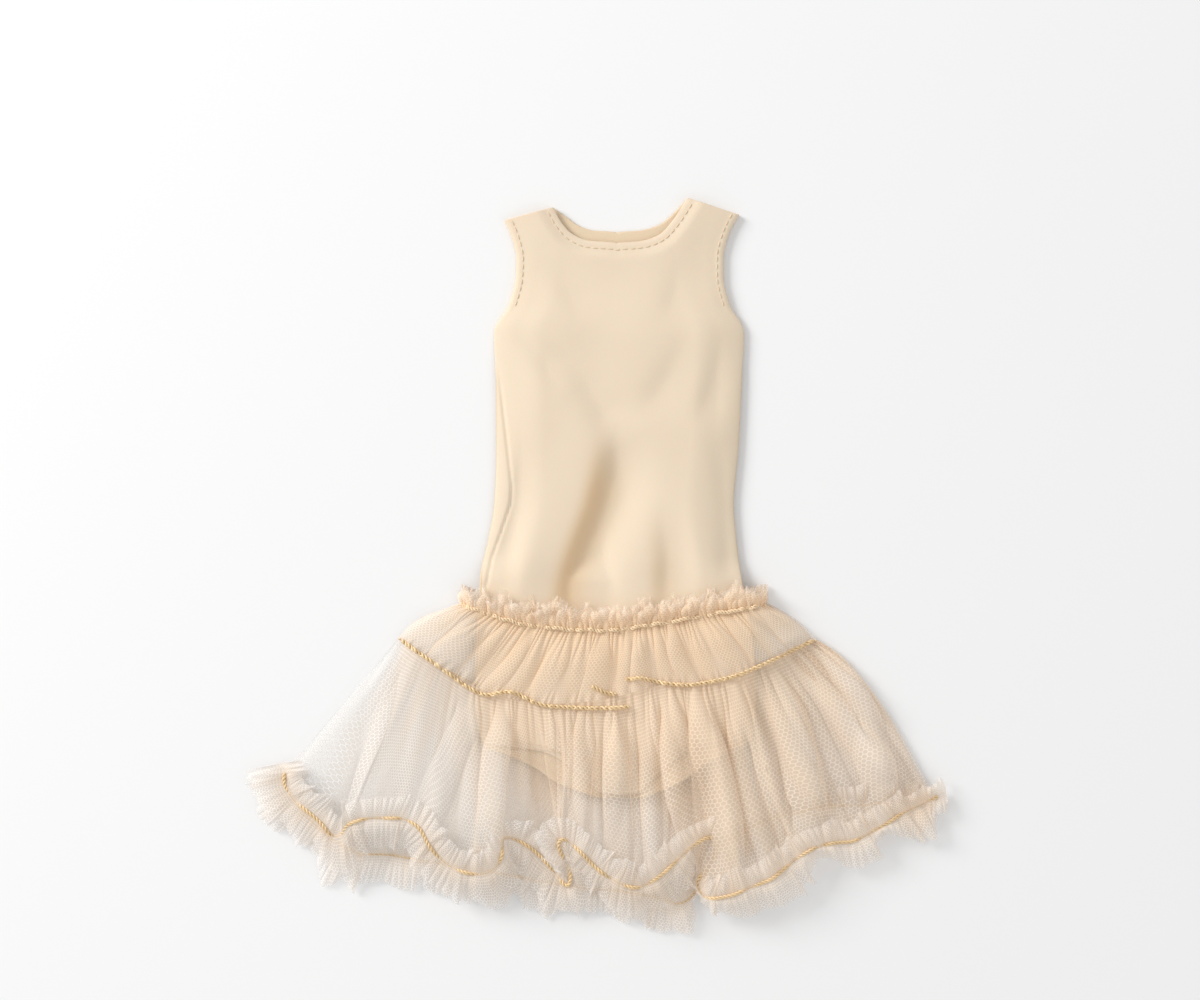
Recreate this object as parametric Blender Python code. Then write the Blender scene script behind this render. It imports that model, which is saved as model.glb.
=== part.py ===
# Doll's ballet leotard with a net skirt sewn on, lying flat on its back.
# Metres, +Z up, neck towards +Y. Sizes below are in millimetres.

import math
from collections import namedtuple

import bmesh
import bpy

MM = 0.001

# Cloth and layers
JERSEY_WALL = 1.2
NET_WALL = 1.4
SEAM_GAP = 0.35
RUFFLE_GAP = 0.75
BACK_NET_TOP = NET_WALL + SEAM_GAP
FRONT_REST = JERSEY_WALL + SEAM_GAP
COVER_RISE = 3.6

# Skirt construction
WAIST_FRILL = 7.5
FRILL_SPAN = 0.34
UPPER_LENGTH = 24.0
LOWER_LENGTH = 45.0
WAIST_GATHERS = 24
TIER_GATHERS = 22
RUFFLE_WAVES_FRONT = 36
RUFFLE_WAVES_BACK = 24
RUFFLE_IN = 7.5
RUFFLE_OUT = 11.0
BACK_HEM_LIFT = 22.0

# Grid sizes, as faces across by faces along
WAIST_GRID = (96, 8)
LOWER_GRID_FRONT = (84, 8)
LOWER_GRID_BACK = (60, 6)
UPPER_GRID_BACK = (60, 6)
RUFFLE_GRID_FRONT = (144, 4)
RUFFLE_GRID_BACK = (96, 4)
LEOTARD_GRID_FRONT = (10, 28)
LEOTARD_GRID_BACK = (7, 24)

Point = namedtuple("Point", "x y")
HemPoint = namedtuple("HemPoint", "front_y back_y ruffle_angle")
Fold = namedtuple("Fold", "waist tier hem half_width height")
Crease = namedtuple("Crease", "x0 y0 x1 y1 half_width depth")
Row = namedtuple("Row", "left_in left_out right_in right_out")

# Seam lines of the skirt from its left side to its right side
WAIST = [
    Point(-46.4, -12.3),
    Point(-30.0, -17.8),
    Point(-14.0, -20.4),
    Point(4.0, -20.8),
    Point(20.0, -18.6),
    Point(37.0, -15.6),
    Point(55.0, -12.3),
]
TIER = [
    Point(-66.2, -24.2),
    Point(-52.0, -33.0),
    Point(-35.0, -41.0),
    Point(-18.0, -45.0),
    Point(2.0, -45.4),
    Point(20.0, -40.6),
    Point(37.0, -39.2),
    Point(55.0, -34.2),
    Point(71.0, -24.6),
]
HEM_LEFT_X = -106.0
HEM_RIGHT_X = 114.5
HEM = [
    HemPoint(-67.5, -67.5, 172),
    HemPoint(-83.0, -82.0, 205),
    HemPoint(-84.5, -92.0, 232),
    HemPoint(-82.5, -96.5, 246),
    HemPoint(-87.0, -98.5, 252),
    HemPoint(-97.5, -99.5, 257),
    HemPoint(-99.5, -101.0, 261),
    HemPoint(-93.0, -103.5, 264),
    HemPoint(-90.5, -105.0, 267),
    HemPoint(-97.5, -105.5, 269),
    HemPoint(-104.0, -108.0, 270),
    HemPoint(-104.5, -110.0, 271),
    HemPoint(-97.5, -110.0, 273),
    HemPoint(-96.0, -99.0, 276),
    HemPoint(-104.5, -92.0, 279),
    HemPoint(-101.0, -87.0, 283),
    HemPoint(-94.5, -84.0, 287),
    HemPoint(-90.5, -81.5, 288),
    HemPoint(-87.0, -80.0, 286),
    HemPoint(-80.5, -78.0, 279),
    HemPoint(-75.8, -75.5, 273),
]

# Side bulge of the net, out past a straight line between seams
UPPER_BULGE = 2.4
LOWER_BULGE_RIGHT = 5.0

# Share of the width over which the front net comes down on the back net
WAIST_SIDE = 0.058
HEM_SIDE = 0.07
FLAT_SIDE = 0.02

# Main folds: place across the skirt (0 left, 1 right) at each seam line
FRONT_FOLDS = [
    Fold(0.02, 0.03, 0.030, 0.030, 3.0),
    Fold(0.10, 0.09, 0.105, 0.034, 3.4),
    Fold(0.17, 0.17, 0.175, 0.030, 2.6),
    Fold(0.24, 0.24, 0.250, 0.034, 3.8),
    Fold(0.31, 0.31, 0.325, 0.034, 4.2),
    Fold(0.38, 0.39, 0.405, 0.036, 3.4),
    Fold(0.45, 0.46, 0.475, 0.032, 3.8),
    Fold(0.52, 0.53, 0.545, 0.036, 4.2),
    Fold(0.59, 0.60, 0.615, 0.034, 3.2),
    Fold(0.66, 0.675, 0.690, 0.036, 4.4),
    Fold(0.73, 0.745, 0.765, 0.034, 3.8),
    Fold(0.80, 0.815, 0.835, 0.034, 3.2),
    Fold(0.88, 0.89, 0.900, 0.032, 3.0),
    Fold(0.96, 0.96, 0.965, 0.030, 2.4),
]
BACK_FOLDS = [
    Fold(0.06, 0.07, 0.080, 0.045, 1.6),
    Fold(0.15, 0.16, 0.175, 0.045, 1.5),
    Fold(0.24, 0.25, 0.270, 0.045, 1.4),
    Fold(0.38, 0.38, 0.385, 0.045, 1.2),
    Fold(0.50, 0.50, 0.505, 0.050, 1.4),
    Fold(0.62, 0.62, 0.620, 0.045, 1.2),
    Fold(0.75, 0.76, 0.745, 0.045, 1.6),
    Fold(0.85, 0.85, 0.845, 0.045, 1.5),
    Fold(0.94, 0.93, 0.935, 0.040, 1.6),
]

# Leotard panels, from the crotch up to the shoulders, each row with its
# edge at the middle or neck (in) and its edge at the leg, side or armhole (out)
FRONT_ROWS = [
    Row((6.3, -75.4), (-0.5, -74.8), (6.3, -75.4), (13.0, -74.8)),
    Row((6.3, -69.5), (-10.9, -65.8), (6.3, -69.5), (22.1, -65.8)),
    Row((6.2, -64.5), (-20.1, -61.0), (6.2, -64.5), (30.5, -60.2)),
    Row((6.1, -60.0), (-31.0, -59.6), (6.1, -60.0), (40.5, -58.2)),
    Row((6.0, -55.0), (-38.8, -58.6), (6.0, -55.0), (49.4, -57.0)),
    Row((5.6, -44.0), (-41.3, -44.0), (5.6, -44.0), (51.3, -44.0)),
    Row((5.0, -28.0), (-41.6, -28.0), (5.0, -28.0), (50.6, -28.0)),
    Row((4.4, -13.0), (-40.4, -13.0), (4.4, -13.0), (48.2, -13.0)),
    Row((4.2, -3.0), (-39.9, -3.0), (4.2, -3.0), (46.4, -3.0)),
    Row((4.2, 9.0), (-37.3, 9.0), (4.2, 9.0), (44.9, 9.0)),
    Row((4.3, 21.0), (-35.3, 21.0), (4.3, 21.0), (44.0, 21.0)),
    Row((4.6, 40.0), (-34.6, 40.0), (4.6, 40.0), (45.6, 40.0)),
    Row((4.9, 60.0), (-34.8, 60.0), (4.9, 60.0), (46.6, 60.0)),
    Row((5.1, 77.0), (-35.4, 77.0), (5.1, 77.0), (47.4, 77.0)),
    Row((5.2, 91.0), (-30.6, 86.5), (5.2, 91.0), (42.8, 86.5)),
    Row((5.3, 106.9), (-28.2, 96.0), (5.3, 106.9), (40.6, 96.0)),
    Row((-4.3, 107.9), (-28.0, 102.0), (13.2, 107.7), (40.6, 102.4)),
    Row((-9.6, 110.2), (-28.8, 106.4), (19.2, 109.8), (41.6, 107.4)),
    Row((-13.2, 114.2), (-30.2, 110.6), (23.8, 114.6), (43.4, 112.2)),
    Row((-15.8, 118.9), (-32.0, 114.6), (28.6, 122.0), (45.8, 116.4)),
]
BACK_ROWS = [
    Row((6.3, -76.6), (-2.6, -76.0), (6.3, -76.6), (15.2, -76.0)),
    Row((6.3, -72.0), (-15.5, -70.9), (6.3, -72.0), (27.0, -70.9)),
    Row((6.2, -67.5), (-21.5, -66.6), (6.2, -67.5), (33.5, -66.2)),
    Row((6.1, -62.0), (-31.0, -62.2), (6.1, -62.0), (42.0, -61.0)),
    Row((6.0, -56.0), (-38.8, -59.0), (6.0, -56.0), (49.4, -57.4)),
    FRONT_ROWS[5],
    FRONT_ROWS[6],
    FRONT_ROWS[7],
    FRONT_ROWS[8],
    FRONT_ROWS[9],
    FRONT_ROWS[10],
    FRONT_ROWS[11],
    FRONT_ROWS[12],
    FRONT_ROWS[13],
    Row((5.2, 93.0), (-30.6, 86.5), (5.2, 93.0), (42.8, 86.5)),
    Row((5.3, 110.6), (-28.2, 96.0), (5.3, 110.6), (40.6, 96.0)),
    Row((-2.8, 111.4), (-28.0, 102.0), (13.4, 111.4), (40.6, 102.4)),
    Row((-7.4, 113.0), (-28.8, 106.4), (19.2, 113.2), (41.6, 107.4)),
    Row((-11.4, 115.8), (-30.2, 110.6), (24.0, 117.0), (43.4, 112.2)),
    Row((-15.8, 118.9), (-32.0, 114.6), (28.6, 122.0), (45.8, 116.4)),
]

# Soft troughs of the leotard's front, from one end to the other
FRONT_CREASES = [
    Crease(-5.0, 24.0, -14.5, -4.0, 6.5, 1.7),
    Crease(17.5, 12.0, 17.0, -4.0, 6.0, 1.1),
    Crease(36.0, 30.0, 41.0, 2.0, 5.0, 0.9),
    Crease(-27.0, 34.0, -31.0, 6.0, 5.0, 0.8),
    Crease(-12.0, 70.0, 2.0, 48.0, 7.0, 0.8),
    Crease(28.0, 72.0, 16.0, 54.0, 7.0, 0.8),
]
TORSO_PUFF = 2.0
STRAP_PUFF = 0.5
WAIST_PUFF = 0.4

JERSEY_COLOUR = (0.83, 0.69, 0.51)
JERSEY_BACK_COLOUR = (0.81, 0.67, 0.49)
NET_COLOUR = (0.85, 0.74, 0.62)
NET_BACK_COLOUR = (0.84, 0.75, 0.66)
RUFFLE_COLOUR = (0.86, 0.78, 0.69)


def ease(value):
    """Smooth step from 0 to 1."""
    value = min(max(value, 0.0), 1.0)
    return value * value * (3.0 - 2.0 * value)


def between(first, second, share):
    """Value a share of the way from the first to the second."""
    return first + (second - first) * share


def through(values, share):
    """Value a share of the way along a list, on a curve that doesn't overshoot."""
    spot = min(max(share, 0.0), 1.0) * (len(values) - 1)
    index = min(int(spot), len(values) - 2)
    steps = [b - a for a, b in zip(values, values[1:])]

    def slope(at):
        if at == 0:
            return steps[0]
        if at == len(steps):
            return steps[-1]
        before, after = steps[at - 1], steps[at]
        if before * after <= 0.0:
            return 0.0
        return 2.0 * before * after / (before + after)

    t = spot - index
    start, end = values[index], values[index + 1]
    first, last = slope(index), slope(index + 1)
    return (
        start * (1 + 2 * t) * (1 - t) ** 2
        + first * t * (1 - t) ** 2
        + end * t * t * (3 - 2 * t)
        + last * t * t * (t - 1)
    )


def waist_point(across):
    return (
        through([p.x for p in WAIST], across),
        through([p.y for p in WAIST], across),
    )


def tier_point(across):
    return (
        through([p.x for p in TIER], across),
        through([p.y for p in TIER], across),
    )


def hem_point(across, side):
    x = between(HEM_LEFT_X, HEM_RIGHT_X, across)
    return x, through([getattr(p, side) for p in HEM], across)


def skirt_point(across, down, side):
    """Place on the skirt: down is 0 at the waist, 1 at the tier seam, 2 at the hem."""
    edge = abs(2.0 * across - 1.0) ** 6
    turn = 1.0 if across > 0.5 else -1.0
    if down <= 1.0:
        start, end = waist_point(across), tier_point(across)
        bulge = 4.0 * down * (1.0 - down) * UPPER_BULGE * edge
        share = down
    else:
        start, end = tier_point(across), hem_point(across, side)
        share = down - 1.0
        bulge = 4.0 * share * (1.0 - share) * LOWER_BULGE_RIGHT * edge * (across > 0.5)
    return (
        between(start[0], end[0], share) + turn * bulge * 0.7,
        between(start[1], end[1], share) + bulge * 0.7,
    )


def fold_height(folds, across, down):
    """Height of the main folds, low at the waist and full at the hem."""
    total = 0.0
    for fold in folds:
        if down <= 1.0:
            centre = between(fold.waist, fold.tier, max(down, 0.0))
        else:
            centre = between(fold.tier, fold.hem, down - 1.0)
        distance = abs(across - centre) / fold.half_width
        if distance < 1.0:
            total += fold.height * 0.5 * (1.0 + math.cos(math.pi * distance))
    return total * through([0.12, 0.5, 0.85, 1.0, 0.9], max(down, 0.0) / 2.0)


def wave(across, count, shift=0.0):
    """Uneven wave from 0 to 1, count crests across."""
    drift = 0.35 * math.sin(2 * math.pi * across * 3.0 + shift)
    return 0.5 + 0.5 * math.sin(2 * math.pi * across * count + drift + shift)


def back_net_under(across, down, x, y):
    """Underside height of the back net, flat under the leotard and at rest."""
    open_net = 1.0 - ease((60.0 - abs(x - 4.5)) / 12.0) * ease((y + 90.0) / 13.0)
    folds = fold_height(BACK_FOLDS, across, down) * open_net
    to_hem = (2.0 - down) * LOWER_LENGTH
    return folds + BACK_NET_TOP * ease((BACK_HEM_LIFT - to_hem) / 8.0)


def front_net_under(across, down, x, y):
    """Underside height of the front net, over the back net and the leotard."""
    base = back_net_under(across, down, x, y)
    edge = min(across, 1.0 - across)
    inside = ease(edge / between(WAIST_SIDE, HEM_SIDE, ease(down)))
    base = BACK_NET_TOP + between(base, max(COVER_RISE, base), inside)
    waist_gather = 0.9 * wave(across, WAIST_GATHERS) * ease(1.0 - abs(down) / 0.6)
    tier_gather = 0.8 * wave(across, TIER_GATHERS, 1.0)
    tier_gather *= ease(1.0 - abs(down - 1.0) / 0.35)
    folds = fold_height(FRONT_FOLDS, across, down)
    return base + (waist_gather + tier_gather + folds) * ease(edge / FLAT_SIDE)


def lift_leotard(y):
    """Height of the leotard's underside: on the back net below the waist."""
    return BACK_NET_TOP * ease((3.5 - y) / 9.0)


def crease_depth(creases, x, y):
    """Depth of the soft troughs at a place."""
    total = 0.0
    for crease in creases:
        run_x, run_y = crease.x1 - crease.x0, crease.y1 - crease.y0
        length = math.hypot(run_x, run_y)
        along = ((x - crease.x0) * run_x + (y - crease.y0) * run_y) / length
        aside = ((x - crease.x0) * run_y - (y - crease.y0) * run_x) / length
        ends = ease((along + 7.0) / 14.0) * ease((length + 7.0 - along) / 14.0)
        total += crease.depth * ends * math.exp(-((aside / crease.half_width) ** 2))
    return total


def leotard_place(rows, half, across, up):
    """Place on a leotard half: across is 0 at the middle, 1 at its outer edge."""
    inner = [getattr(row, half + "_in") for row in rows]
    outer = [getattr(row, half + "_out") for row in rows]
    x = between(
        through([p[0] for p in inner], up), through([p[0] for p in outer], up), across
    )
    y = between(
        through([p[1] for p in inner], up), through([p[1] for p in outer], up), across
    )
    return x, y


def front_puff(across, up, x, y):
    """Rise of the leotard's front over its back."""
    if up > 15.0 / 19.0:
        full = STRAP_PUFF
        middle = 1.0 - (2.0 * across - 1.0) ** 4
        blend = ease((up - 15.0 / 19.0) * 19.0 / 2.0)
        puff = between(TORSO_PUFF * 0.7 * (1.0 - across**4), full * middle, blend)
    else:
        rise = ease((y + 14.0) / 26.0)
        top = between(1.0, 0.7, ease((y - 80.0) / 16.0))
        puff = between(WAIST_PUFF, TORSO_PUFF * top, rise) * (1.0 - across**4)
    edge = 1.0 - across**2
    return max(puff - crease_depth(FRONT_CREASES, x, y) * edge, 0.0)


def cloth_solid(name, grid, wall, places, colour, roughness, sheets=(0,)):
    """Closed cloth panel: open grids placed by a function, then given a wall."""
    mesh = bmesh.new()
    for sheet in sheets:
        made = bmesh.ops.create_grid(
            mesh, x_segments=grid[0], y_segments=grid[1], size=0.5
        )
        for vert in made["verts"]:
            across = vert.co.x + 0.5
            along = vert.co.y + 0.5
            x, y, z = places(across, along, sheet)
            vert.co = (x * MM, y * MM, z * MM)
    bmesh.ops.remove_doubles(mesh, verts=mesh.verts, dist=0.00005)
    under = list(mesh.faces)
    grown = bmesh.ops.extrude_face_region(mesh, geom=under, use_keep_orig=True)
    top = [item for item in grown["geom"] if isinstance(item, bmesh.types.BMVert)]
    bmesh.ops.translate(mesh, verts=top, vec=(0.0, 0.0, wall * MM))
    bmesh.ops.triangulate(mesh, faces=mesh.faces)
    bmesh.ops.recalc_face_normals(mesh, faces=mesh.faces)
    data = bpy.data.meshes.new(name)
    mesh.to_mesh(data)
    mesh.free()
    data.shade_smooth()
    made_object = bpy.data.objects.new(name, data)
    data.materials.append(cloth_material(name, colour, roughness))
    garment.objects.link(made_object)


def cloth_material(name, colour, roughness):
    material = bpy.data.materials.new(name)
    material.use_nodes = True
    shader = material.node_tree.nodes["Principled BSDF"]
    shader.inputs["Base Color"].default_value = (*colour, 1.0)
    shader.inputs["Roughness"].default_value = roughness
    shader.inputs["Metallic"].default_value = 0.0
    return material


def leotard_front_place(across, up, half):
    x, y = leotard_place(FRONT_ROWS, half, across, up)
    return x, y, lift_leotard(y) + FRONT_REST + front_puff(across, up, x, y)


def leotard_back_place(across, up, half):
    x, y = leotard_place(BACK_ROWS, half, across, up)
    return x, y, lift_leotard(y)


def frill_place(across, above):
    """Frill above the waist stitches, above is 0 to 1 up its height."""
    x, y = waist_point(across)
    spread = 1.2 * (2.0 * across - 1.0) * above
    top = WAIST_FRILL + 0.9 * math.sin(17.0 * across) + 0.7 * math.sin(41.0 * across)
    return x + spread, y + top * above


def upper_front_place(across, along, _sheet):
    down = between(1.0 - SEAM_GAP / UPPER_LENGTH, -FRILL_SPAN, along)
    if down >= 0.0:
        x, y = skirt_point(across, down, "front_y")
        return x, y, front_net_under(across, down, x, y)
    above = -down / FRILL_SPAN
    x, y = frill_place(across, above)
    flare = 1.3 * above * wave(across, WAIST_GATHERS)
    sides = ease(min(across, 1.0 - across) / FLAT_SIDE)
    return x, y, front_net_under(across, 0.0, x, y) + flare * sides


def upper_back_place(across, along, _sheet):
    down = between(1.0 - SEAM_GAP / UPPER_LENGTH, -FRILL_SPAN, along)
    if down >= 0.0:
        x, y = skirt_point(across, down, "back_y")
        return x, y, back_net_under(across, down, x, y)
    x, y = frill_place(across, -down / FRILL_SPAN)
    return x, y, 0.0


def lower_front_place(across, along, _sheet):
    down = between(2.0, 1.0 + SEAM_GAP / LOWER_LENGTH, along)
    x, y = skirt_point(across, down, "front_y")
    return x, y, front_net_under(across, down, x, y)


def lower_back_place(across, along, _sheet):
    down = between(2.0, 1.0 + SEAM_GAP / LOWER_LENGTH, along)
    x, y = skirt_point(across, down, "back_y")
    return x, y, back_net_under(across, down, x, y)


def ruffle_place(across, out, side):
    """Place on a hem ruffle's free half, out is 0 at its stitches and 1 at its edge."""
    x, y = hem_point(across, side)
    angle = math.radians(through([p.ruffle_angle for p in HEM], across))
    uneven = 0.10 * math.sin(29.0 * across) + 0.06 * math.sin(67.0 * across)
    reach = RUFFLE_OUT * (1.0 + uneven)
    return x + out * reach * math.cos(angle), y + out * reach * math.sin(angle)


def ruffle_front_place(across, along, _sheet):
    out = between(1.0, -1.0, along)
    crest = wave(across, RUFFLE_WAVES_FRONT)
    if out <= 0.0:
        down = 2.0 + out * RUFFLE_IN / LOWER_LENGTH
        x, y = skirt_point(across, down, "front_y")
        rest = front_net_under(across, down, x, y) + NET_WALL + RUFFLE_GAP
        return x, y, rest - out * 2.0 * crest
    x, y = ruffle_place(across, out, "front_y")
    hem_x, hem_y = hem_point(across, "front_y")
    rest = front_net_under(across, 2.0, hem_x, hem_y) + NET_WALL + RUFFLE_GAP
    fall = between(rest, BACK_NET_TOP + COVER_RISE, ease(out))
    return x, y, fall + out * 3.0 * crest


def ruffle_back_place(across, along, _sheet):
    out = between(1.0, -1.0, along)
    if out <= 0.0:
        x, y = skirt_point(across, 2.0 + out * RUFFLE_IN / LOWER_LENGTH, "back_y")
        return x, y, 0.0
    x, y = ruffle_place(across, out, "back_y")
    return x, y, out * 2.6 * wave(across, RUFFLE_WAVES_BACK, 2.0)


for old in list(bpy.data.objects):
    bpy.data.objects.remove(old, do_unlink=True)
garment = bpy.data.collections.new("ballet_leotard_and_skirt")
bpy.context.scene.collection.children.link(garment)

HALVES = ("left", "right")
cloth_solid(
    "leotard_back",
    LEOTARD_GRID_BACK,
    JERSEY_WALL,
    leotard_back_place,
    JERSEY_BACK_COLOUR,
    0.75,
    HALVES,
)
cloth_solid(
    "leotard_front",
    LEOTARD_GRID_FRONT,
    JERSEY_WALL,
    leotard_front_place,
    JERSEY_COLOUR,
    0.75,
    HALVES,
)
cloth_solid(
    "skirt_upper_tier_back",
    UPPER_GRID_BACK,
    NET_WALL,
    upper_back_place,
    NET_BACK_COLOUR,
    0.8,
)
cloth_solid(
    "skirt_upper_tier_front",
    WAIST_GRID,
    NET_WALL,
    upper_front_place,
    NET_COLOUR,
    0.8,
)
cloth_solid(
    "skirt_lower_tier_back",
    LOWER_GRID_BACK,
    NET_WALL,
    lower_back_place,
    NET_BACK_COLOUR,
    0.8,
)
cloth_solid(
    "skirt_lower_tier_front",
    LOWER_GRID_FRONT,
    NET_WALL,
    lower_front_place,
    NET_COLOUR,
    0.8,
)
cloth_solid(
    "hem_ruffle_back",
    RUFFLE_GRID_BACK,
    NET_WALL,
    ruffle_back_place,
    RUFFLE_COLOUR,
    0.8,
)
cloth_solid(
    "hem_ruffle_front",
    RUFFLE_GRID_FRONT,
    NET_WALL,
    ruffle_front_place,
    RUFFLE_COLOUR,
    0.8,
)
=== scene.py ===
import math
from collections import namedtuple

import bpy
import numpy as np
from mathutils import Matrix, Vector, kdtree


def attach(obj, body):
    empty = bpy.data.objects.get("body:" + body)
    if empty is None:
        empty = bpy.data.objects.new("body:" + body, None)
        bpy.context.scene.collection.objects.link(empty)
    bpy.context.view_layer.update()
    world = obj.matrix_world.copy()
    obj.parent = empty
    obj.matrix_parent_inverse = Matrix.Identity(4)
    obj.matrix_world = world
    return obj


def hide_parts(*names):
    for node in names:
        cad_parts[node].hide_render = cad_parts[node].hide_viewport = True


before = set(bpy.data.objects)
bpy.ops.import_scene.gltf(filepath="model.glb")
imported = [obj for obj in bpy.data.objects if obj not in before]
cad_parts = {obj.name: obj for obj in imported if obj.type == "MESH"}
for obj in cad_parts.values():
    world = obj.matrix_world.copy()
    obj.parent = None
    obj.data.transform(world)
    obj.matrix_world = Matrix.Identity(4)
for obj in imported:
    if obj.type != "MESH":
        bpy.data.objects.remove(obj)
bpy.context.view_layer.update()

MM = 0.001
TAU = 2.0 * math.pi

# Lengths in millimetres: the net strips on one side, and the cloth's width at each seam
UPPER_LENGTH = 25.0
LOWER_LENGTH = 48.0
LOWER_STRIP = 330.0
UPPER_STRIP = 210.0
WAIST_SPAN = 101.0
TIER_SPAN = 137.0
HEM_SPAN = 287.0
FRILL_HEIGHT = 8.2
RUFFLE_OUT = 10.6
RUFFLE_PITCH = 2.2
TIER_GATHERS = 62.0
WAIST_GATHERS = 58.0

# Gold thread on the tier seam: the strands' radius, and the length of their turn
GOLD_RADIUS = 0.46
GOLD_TURN = 3.1

# Topstitching, in millimetres: from one stitch to the next, each one's length and rise
STITCH_PITCH = 2.5
STITCH_LENGTH = 1.9
STITCH_RISE = 0.14

HemSpot = namedtuple("HemSpot", "u x y z")
Crease = namedtuple("Crease", "x0 y0 x1 y1 half_width depth")
Row = namedtuple("Row", "left_in left_out right_in right_out")
Fold = namedtuple("Fold", "top low width height curl lean")


def joined(middle, left, right):
    """A row where a panel's two halves meet at its middle."""
    return Row(middle, left, middle, right)


# Seam lines in plan, from left to right
WAIST = np.array(
    [
        (-46.4, -12.3), (-30.0, -17.8), (-14.0, -20.4), (4.0, -20.8), (20.0, -18.6),
        (37.0, -15.6), (55.0, -12.3),
    ]
)
TIER = np.array(
    [
        (-66.2, -24.2), (-52.0, -33.8), (-35.0, -42.0), (-18.0, -45.0), (2.0, -43.5),
        (20.0, -38.8), (37.0, -37.7), (55.0, -31.8), (71.0, -24.6),
    ]
)

# The tier seam's gold thread: two lengths that pass each other at the middle,
# with a short end of the right one showing on its own
GOLD_LEFT = [
    (-66.0, -24.3), (-60.0, -28.4), (-53.0, -33.0), (-45.5, -38.6), (-38.3, -42.2),
    (-32.5, -41.3), (-28.4, -41.5), (-22.0, -44.6), (-16.8, -45.9), (-6.9, -46.5), (2.0, -46.6),
    (9.6, -46.1),
]
GOLD_END = [(-3.2, -39.2), (-0.8, -40.4), (1.6, -41.6), (3.6, -41.8), (5.2, -42.4)]
GOLD_RIGHT = [
    (8.0, -37.0), (10.4, -37.0), (12.9, -36.6), (21.1, -38.4), (29.4, -38.9), (37.6, -37.6),
    (45.9, -35.4), (54.0, -32.0), (62.4, -28.1), (70.4, -24.4),
]

# The front hem's path. u is the place on the tier seam that it hangs from,
# z the height over the back: it turns under itself twice.
HEM = [
    HemSpot(*spot)
    for spot in [
        (0.000, -104.6, -67.7, 0.0), (0.006, -104.9, -71.9, 0.5), (0.012, -102.0, -76.6, 1.0),
        (0.018, -97.4, -80.5, 1.5), (0.024, -92.7, -84.2, 1.5), (0.030, -89.1, -88.8, 1.0),
        (0.040, -85.5, -88.1, 1.8), (0.061, -83.2, -84.8, 2.6), (0.082, -77.5, -82.8, 3.0),
        (0.103, -71.0, -82.5, 3.0), (0.124, -65.0, -82.8, 3.0), (0.145, -59.7, -85.8, 3.0),
        (0.165, -55.8, -92.4, 3.0), (0.186, -50.5, -97.7, 3.0), (0.207, -44.6, -100.3, 3.1),
        (0.228, -38.6, -100.7, 3.3), (0.249, -34.3, -98.3, 3.4), (0.270, -32.3, -94.1, 3.0),
        (0.285, -32.7, -90.4, 1.5), (0.304, -30.7, -89.4, -0.5), (0.323, -24.8, -91.7, -1.6),
        (0.342, -18.2, -97.4, -1.8), (0.361, -11.6, -105.3, -1.4), (0.380, -10.2, -100.7, -0.2),
        (0.395, -13.9, -92.1, 1.6), (0.426, -12.2, -89.4, 2.8), (0.456, -6.9, -93.4, 3.2),
        (0.487, -1.3, -99.0, 3.2), (0.518, 4.6, -103.0, 3.2), (0.548, 11.6, -105.3, 3.3),
        (0.579, 18.2, -102.3, 3.2), (0.609, 24.4, -97.0, 3.0), (0.640, 30.4, -91.4, 2.6),
        (0.650, 35.6, -88.8, 1.4), (0.661, 38.3, -91.7, -0.4), (0.672, 36.3, -98.0, -1.5),
        (0.684, 31.7, -104.0, -1.4), (0.695, 34.6, -108.9, -0.2), (0.710, 41.9, -108.2, 1.8),
        (0.739, 48.5, -105.6, 3.0), (0.768, 55.8, -102.6, 3.0), (0.797, 62.0, -98.0, 3.0),
        (0.826, 68.3, -93.4, 3.0), (0.855, 75.9, -91.1, 2.8), (0.884, 83.5, -90.4, 2.5),
        (0.913, 91.4, -86.5, 2.0), (0.942, 99.0, -81.8, 1.5), (0.971, 104.4, -79.4, 1.0),
        (0.985, 107.6, -77.9, 0.6), (1.000, 110.4, -76.6, 0.0),
    ]
]
BACK_HEM = np.array(
    [
        (-104.6, -67.7), (-102.3, -76.9), (-93.4, -86.8), (-82.2, -94.4), (-71.3, -95.4),
        (-59.7, -97.4), (-46.5, -99.3), (-33.3, -101.6), (-20.1, -104.3), (-6.9, -106.3),
        (6.3, -107.6), (17.8, -109.6), (26.1, -111.5), (31.7, -107.6), (35.3, -100.7),
        (39.9, -93.4), (47.5, -87.5), (56.4, -83.5), (65.7, -81.2), (75.6, -79.5),
        (87.1, -78.9), (98.7, -77.9), (109.6, -77.0),
    ]
)

# How much shorter than usual the hem ruffle falls, at places across the skirt
SHORTER = np.array(
    [
        (-110.0, -3.5), (-105.0, -2.0), (-99.0, 1.5), (-94.0, 2.5), (-91.0, 3.0), (-86.0, -2.4),
        (-60.0, 1.6), (-46.0, 0.4), (-33.0, 0.0), (-27.0, 3.5), (-20.0, -0.8), (0.0, 2.8),
        (13.0, 1.2), (26.0, -0.5), (28.5, 5.0), (30.0, 9.5), (34.0, 9.0), (36.5, 5.0),
        (40.0, 4.2), (52.0, 0.4), (60.0, -0.4), (66.0, 1.2), (72.0, 6.0), (85.0, -0.4),
        (88.5, 2.5), (92.0, 8.0), (99.0, 0.5), (105.0, -1.8), (112.0, 5.0),
    ]
)

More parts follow.
